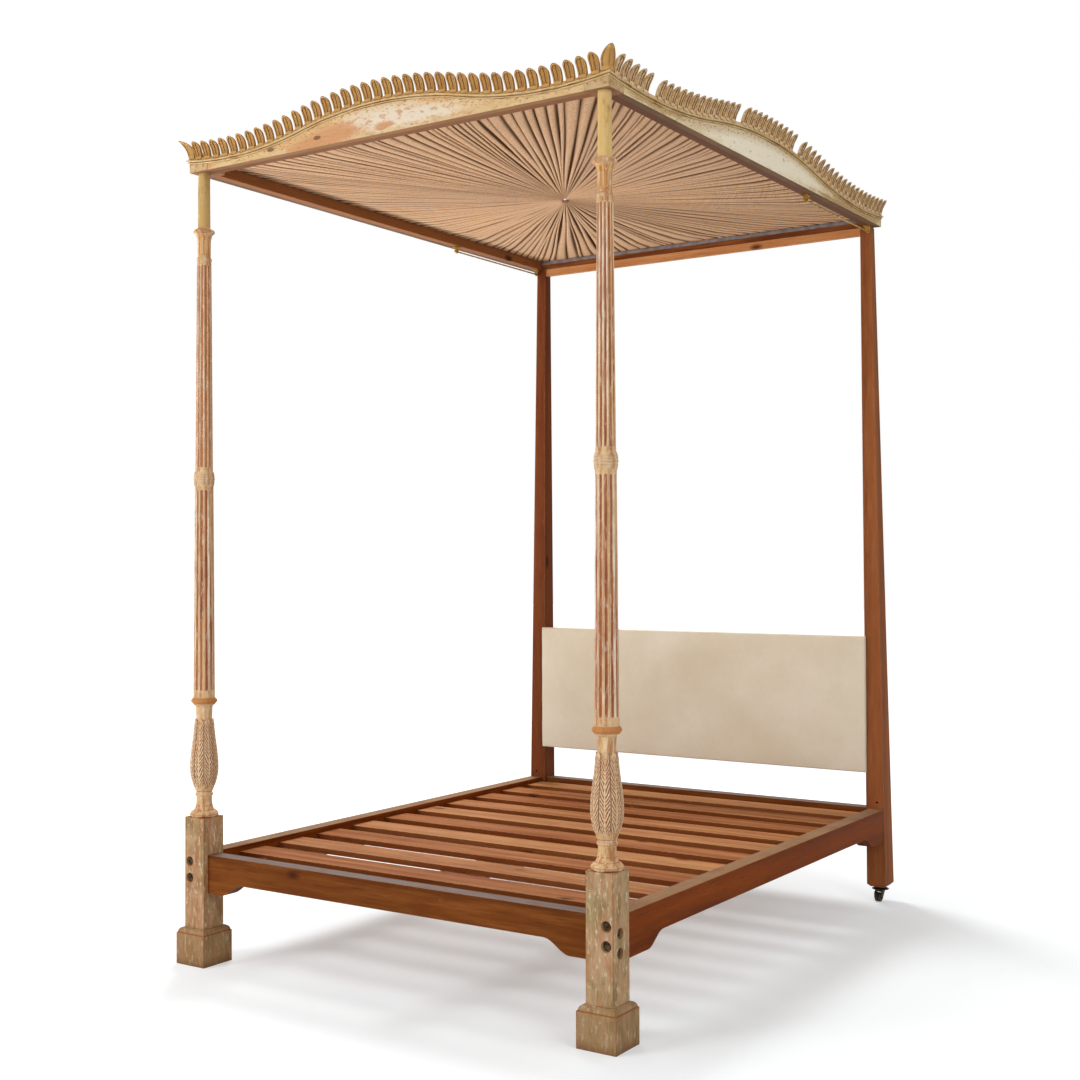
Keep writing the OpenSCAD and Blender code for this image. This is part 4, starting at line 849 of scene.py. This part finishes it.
# Canopy cloth: pleats gathered to the centre button. Shares run from the hub, 0, to the edge, 1

canopy = {
    "light": "f0c9a0", "mid": "dbaa80", "dark": "8f6040", "creaseShade": "47240c", "thread": "b58468",
    "faded": "c0a08c", "button": "b98d66", "stripes": 190.0, "threads": 620.0,
    "pleatsFoot": 38, "pleatsSide": 48, "pleatsHead": 34, "rings": 44, "inner": 0.014,
    "crowd": 0.85,  # below 1 the rings lie closer at the edge
    "spread": 0.6, "skew": 0.3, "tall": (0.55, 1.25), "deep": (0.7, 1.1),  # from pleat to pleat
    "hubFold": 0.0045, "midFold": 0.0105, "edgeFold": 0.0024, "fullAt": 0.45, "flatFrom": 0.72,
    "ripple": 0.16, "ripples": 9, "sway": 0.0035, "sways": 5.5, "gathered": 0.35,
    "sag": 0.75, "sagTo": 0.97, "lift": 0.0012, "hubLift": 0.002,
    "tackedAt": 0.965, "hang": 0.006, "hangRate": 0.05}
# Across one pleat: share of its width, height and shade
pleatShape = ((0.0, 0.0, 1.0), (0.05, -0.3, 0.95), (0.1, -0.6, 0.75), (0.17, -0.82, 0.42),
              (0.3, -0.95, 0.12), (0.5, -1.0, 0.0), (0.7, -0.95, 0.08), (0.83, -0.82, 0.32),
              (0.91, -0.6, 0.7), (0.96, -0.3, 0.95))


def canopyMaterial():
    k = canopy
    material, tree, where = newMaterial("canopyCloth")
    uv = put(tree, "UVMap", uv_map="cloth").outputs[0]
    across = axes(tree, uv)[0]
    weave = place(tree, plainWeave, {"Vector": uv, "Threads": k["threads"]})
    stripe = calc(tree, "SINE", times(tree, across, k["stripes"] * math.tau))
    thin = calc(tree, "SINE", times(tree, across, k["stripes"] * 0.37 * math.tau))
    speck = noise(tree, stretch(tree, uv, (1, 0.5, 1)), 300.0, 2, 0.6)
    color = blend(tree, stripe, -0.4, 0.4, k["mid"], k["light"])
    color = tintBy(tree, color, thin, 0.4, 0.9, k["thread"], 0.25)
    color = tintBy(tree, color, speck, 0.52, 0.64, k["dark"], 0.6)
    cloud = noise(tree, where, 2.2, 4)
    color = tintBy(tree, color, cloud, 0.4, 0.7, k["faded"], 0.3)
    # painted shade in the creases: each point carries the shade of its place in the pleat
    depth = put(tree, "Attribute", attribute_name="creaseShade").outputs["Fac"]
    color = tintBy(tree, color, depth, 0.1, 0.95, k["creaseShade"], 0.92)
    finishMaterial(tree, color, 0.9, weave["Height"], 0.00025, Specular_IOR_Level=0.05)
    return material


def pleatBorder(low, high):
    k = canopy
    draw = random.Random(11)
    corners = [Vector((low.x, low.y)), Vector((high.x, low.y)), Vector((high.x, high.y)),
               Vector((low.x, high.y))]
    counts = (k["pleatsFoot"], k["pleatsSide"], k["pleatsHead"], k["pleatsSide"])
    border = []
    for a, b, count in zip(corners, corners[1:] + corners[:1], counts):
        widths = [1 + draw.uniform(-k["spread"], k["spread"]) for _ in range(count)]
        total, passed = sum(widths), 0.0
        for width in widths:
            pleat = {"tall": draw.uniform(*k["tall"]), "phase": draw.uniform(0, 6.28),
                     "deep": draw.uniform(*k["deep"])}
            skew = 1 + draw.uniform(-k["skew"], k["skew"])
            for share, drop, shade in pleatShape:
                here = a.lerp(b, (passed + share ** skew * width) / total)
                border.append((here, drop, shade, pleat))
            passed += width
    return border


def foldAt(t, pleat):
    k = canopy
    fold = k["hubFold"] + (k["midFold"] - k["hubFold"]) * min(1, t / k["fullAt"])
    if t > k["flatFrom"]:
        s = (t - k["flatFrom"]) / (1 - k["flatFrom"])
        fold = k["midFold"] + (k["edgeFold"] - k["midFold"]) * s * s * (3 - 2 * s)
    return fold * pleat["tall"] * (1 + k["ripple"] * math.sin(k["ripples"] * t + pleat["phase"]))


def makeCanopy():
    k = canopy
    low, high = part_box("canopy_cloth")
    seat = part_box("tester_rail_foot")[1].z
    middle = Vector(((low.x + high.x) / 2, (low.y + high.y) / 2))
    border = pleatBorder(low, high)
    travelled = [0.0]
    for i in range(1, len(border)):
        travelled.append(travelled[-1] + (border[i][0] - border[i - 1][0]).length)
    points, creaseShades, uvs = [], [], []
    for ring in range(k["rings"] + 1):
        t = k["inner"] + (1 - k["inner"]) * (ring / k["rings"]) ** k["crowd"]
        sag = (seat - low.z) * (1 - min(1, t / k["sagTo"]) ** 2)
        level = seat - sag * k["sag"] + k["lift"] + (1 - t) * k["hubLift"]
        if t < k["tackedAt"]:
            level -= min(k["hang"], (k["tackedAt"] - t) * k["hangRate"])
        for i, (edge, drop, shade, pleat) in enumerate(border):
            reach = edge - middle
            sway = k["sway"] * math.sin(k["sways"] * t + pleat["phase"]) * t * (1 - t) * 4
            across = Vector((-reach.y, reach.x)).normalized()
            flat = middle + reach * t + across * sway
            points.append((flat.x, flat.y, level + foldAt(t, pleat) * (1 + drop)))
            # painted shade for each point, weaker near the hub and varying from pleat to pleat
            creaseShades.append(shade * min(1, t * 2 + 0.6) * pleat["deep"])
            uvs.append((travelled[i] * (k["gathered"] + (1 - k["gathered"]) * t),
                        t * reach.length))
    faces = ringFaces(k["rings"], len(border))
    cloth = newPiece("canopyPleats", points, faces, canopyMaterial(), uvs=uvs)
    markPoints(cloth, "creaseShade", creaseShades)
    area = sum(p.area for p in cloth.data.polygons)
    print("canopy cloth area", round(area, 3))
    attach(cloth, "bed")
    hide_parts("canopy_cloth")
    return cloth, area


canopyPleats, clothArea = makeCanopy()


def buttonMaterial():
    k = canopy
    material, tree, where = newMaterial("buttonCloth")
    weave = place(tree, plainWeave, {"Vector": where, "Threads": k["threads"]})
    cloud = noise(tree, where, 160.0, 3)
    color = blend(tree, cloud, 0.35, 0.65, k["dark"], k["button"])
    finishMaterial(tree, color, 0.9, weave["Height"], 0.0003, Specular_IOR_Level=0.05)
    return material


dress("canopy_button", buttonMaterial())
print("canopy pleated")

# Tape that covers the cloth's edge on the head board

tape = {"color": "6c6467", "worn": "8c827f", "wide": 0.013, "steps": 90, "off": 0.0008,
        "below": 0.001, "uneven": 0.0008, "bulge": 0.0006}


def tapeMaterial():
    material, tree, where = newMaterial("edgeTape")
    weave = place(tree, plainWeave, {"Vector": where, "Threads": 700.0})
    cloud = noise(tree, where, 30.0, 4)
    color = blend(tree, cloud, 0.35, 0.65, tape["color"], tape["worn"])
    finishMaterial(tree, color, 0.85, weave["Height"], 0.0002, Sheen_Weight=0.1)
    return material


def makeTape():
    k = tape
    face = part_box("tester_head_board")[0].y - k["off"]
    left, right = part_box("tester_rail_left")[1].x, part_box("tester_rail_right")[0].x
    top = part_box("tester_rail_foot")[1].z - k["below"]
    draw = random.Random(8)
    points = []
    for i in range(k["steps"] + 1):
        x = left + (right - left) * i / k["steps"]
        dip = draw.uniform(-k["uneven"], k["uneven"])
        points.append((x, face - draw.uniform(0, k["bulge"]), top + dip))
        points.append((x, face, top - k["wide"] + dip))
    faces = [(a, a + 1, a + 3, a + 2) for a in range(0, 2 * k["steps"], 2)]
    piece = newPiece("edgeTape", points, faces, tapeMaterial())
    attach(piece, "bed")


makeTape()
print("edge tape laid")

# Carving on the foot posts' bulbs: feathered leaves that stand a little proud of the turning

carving = {
    "ridge": "d3b187", "cream": "f0e0c4", "hollow": "8a4b30", "deep": "57291a", "chip": "b27a54",
    "leaves": 8, "steps": 22, "rows": 132, "low": 0.556, "high": 0.769, "fade": 0.05,
    "barb": 0.0135, "slant": 2.3, "barbSharp": 1.4, "drift": 0.3,  # the feathering of a leaf
    "ribWide": 0.13, "ribTall": 0.9, "edgeWide": 0.12,
    "proud": 0.0002, "tall": 0.0013, "sunk": -0.0006}  # sunk where the relief ends in the post


def carvingMaterial():
    k = carving
    material, tree, where = newMaterial("bulbCarving")
    relief = put(tree, "Attribute", attribute_name="relief").outputs["Fac"]
    ragged = noise(tree, where, 320.0, 4, 0.65)
    level = plus(tree, relief, remap(tree, ragged, 0.3, 0.7, -0.4, 0.4))
    color = blend(tree, level, 0.15, 0.5, k["hollow"], k["ridge"])
    color = tintBy(tree, color, level, 0.7, 1.05, k["cream"])
    color = tintBy(tree, color, relief, 0.1, -0.1, k["deep"], 0.7)
    chips = chipMask(tree, stretch(tree, where, (1, 1, 0.4)), 70.0, 0.4, 9.0)
    color = tint(tree, color, chips, k["chip"], 0.45)
    finishPaint(tree, color, ragged, ragged, 0.0004)
    return material


def makeCarving(side, material):
    k = carving
    post = cadNodes["foot_post_" + side]
    low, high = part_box("foot_post_" + side)
    corners = [post.matrix_world @ v.co for v in post.data.vertices]
    surface = BVHTree.FromPolygons(corners, [tuple(p.vertices) for p in post.data.polygons])
    around = k["leaves"] * k["steps"]
    points, reliefs = [], []
    for row in range(k["rows"] + 1):
        share = row / k["rows"]
        z = k["low"] + (k["high"] - k["low"]) * share
        axis = Vector(((low.x + high.x) / 2, (low.y + high.y) / 2, z))
        ends = min(1, share / k["fade"], (1 - share) / k["fade"])
        for step in range(around):
            angle = math.tau * step / around
            leaf = step // k["steps"]
            off = abs((step / k["steps"]) % 1 - 0.5) * 2  # 0 on the leaf's rib, 1 at its edge
            ray = Vector((math.cos(angle), math.sin(angle), 0))
            radius = (surface.ray_cast(axis, ray)[0] - axis).length
            drift = k["drift"] * math.sin(leaf * 2.4 + z * 85)
            barb = 0.5 + 0.5 * math.sin(math.tau * (z / k["barb"] - k["slant"] * off + drift))
            rib = math.exp(-(off / k["ribWide"]) ** 2)
            edge = min(1, (1 - off) / k["edgeWide"])
            relief = max(barb ** k["barbSharp"] * (1 - rib), rib * k["ribTall"]) * edge * ends
            if ends < 1 or edge < 1:
                radius += k["sunk"] + (k["tall"] - k["sunk"]) * relief
            else:
                radius += k["proud"] + k["tall"] * relief
            reliefs.append(relief if ends == 1 else relief - 0.1)
            points.append(axis + ray * radius)
    piece = newPiece("bulbCarving_" + side, points, ringFaces(k["rows"], around), material)
    markPoints(piece, "relief", reliefs)
    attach(piece, "bed")


carvedPaint = carvingMaterial()
for side in sides:
    makeCarving(side, carvedPaint)
print("bulbs carved")

# Headboard pad in calico: a low crown, a rounded edge and faint puckers

pad = {
    "calico": "dccdb4", "pale": "e6dac5", "slub": "cdbb9c", "stain": "c4aa84",
    "columns": 150, "rows": 54, "crowd": 1.6,  # above 1 the mesh is finer at the edges
    "round": 0.005, "slope": 0.09, "pucker": 0.0007, "sidePucker": 0.0006, "fade": 0.05,
    "slack": 0.0012, "wall": 0.2, "shoulder": 0.55, "crown": 0.25,  # shares of the thickness
    "gap": 0.001, "tuck": 0.002}


def calicoMaterial():
    k = pad
    material, tree, where = newMaterial("headboardCalico")
    x, y, z = axes(tree, where)[0:3]
    flat = joined(tree, x, z, y)
    weave = place(tree, plainWeave, {"Vector": flat, "Threads": 1100.0})
    cloud = noise(tree, flat, 3.0, 5, 0.6)
    color = blend(tree, cloud, 0.35, 0.65, k["calico"], k["pale"])
    color = tintBy(tree, color, weave["Slub"], 0.5, 0.75, k["slub"], 0.22)
    color = tint(tree, color, chipMask(tree, flat, 2.6, 0.3, 2.2), k["stain"], 0.3)
    finishMaterial(tree, color, 0.88, weave["Height"], 0.0002, Sheen_Weight=0.12)
    return material


def crowded(i, n, half):
    u = 2 * i / n - 1
    return half * math.copysign(1 - (1 - abs(u)) ** pad["crowd"], u)


def padDepth(x, z, halfX, halfZ, thick, phases):  # how far the cover stands off the board
    k = pad
    inX, inZ = halfX - abs(x), halfZ - abs(z)
    riseX, riseZ = (1 - (1 - min(1, inside / k["slope"])) ** 3 for inside in (inX, inZ))
    rise = riseX * riseZ
    pucker = k["pucker"] * math.sin(x * 31 + phases[0]) * math.exp(-inZ / k["fade"])
    pucker += k["sidePucker"] * math.sin(z * 47 + phases[1]) * math.exp(-inX / k["fade"])
    slack = k["slack"] * math.sin(x * 3.1 + phases[2]) * math.sin(z * 7 + phases[3]) * rise
    bow = math.sqrt(max(0.0, 1 - max(0.0, 1 - min(inX, inZ) / k["round"]) ** 2))
    share = k["wall"] + k["shoulder"] * bow + k["crown"] * rise
    return thick * share + pucker + slack


def makePad():
    k = pad
    low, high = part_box("headboard_pad")
    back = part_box("headboard_back")[0].y
    halfX, halfZ = (high.x - low.x) / 2, (high.z - low.z) / 2
    midX, midZ = (high.x + low.x) / 2, (high.z + low.z) / 2
    draw = random.Random(3)
    phases = [draw.uniform(0, 6.28) for _ in range(4)]
    thick = back - low.y - k["gap"]
    nx, nz = k["columns"], k["rows"]
    points, faces = [], []
    for j in range(nz + 1):
        for i in range(nx + 1):
            x, z = crowded(i, nx, halfX), crowded(j, nz, halfZ)
            y = back - padDepth(x, z, halfX, halfZ, thick, phases)
            points.append((midX + x, y, midZ + z))
    for j in range(nz):
        for i in range(nx):
            a = j * (nx + 1) + i
            faces.append((a, a + 1, a + nx + 2, a + nx + 1))
    rim = list(range(nx + 1)) + [j * (nx + 1) + nx for j in range(1, nz + 1)]
    rim += [nz * (nx + 1) + i for i in range(nx - 1, -1, -1)]
    rim += [j * (nx + 1) for j in range(nz - 1, 0, -1)]
    start, count = len(points), len(rim)
    for i in rim:  # the cover turns back to the board
        x, _, z = points[i]
        points.append((midX + (x - midX) * (1 - k["tuck"] / halfX), back,
                       midZ + (z - midZ) * (1 - k["tuck"] / halfZ)))
    for i in range(count):
        j = (i + 1) % count
        faces.append((rim[j], rim[i], start + i, start + j))
    faces.append(tuple(start + i for i in range(count)))
    piece = newPiece("headboardPad", points, faces, calicoMaterial())
    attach(piece, "bed")
    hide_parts("headboard_pad")


makePad()
print("headboard upholstered")
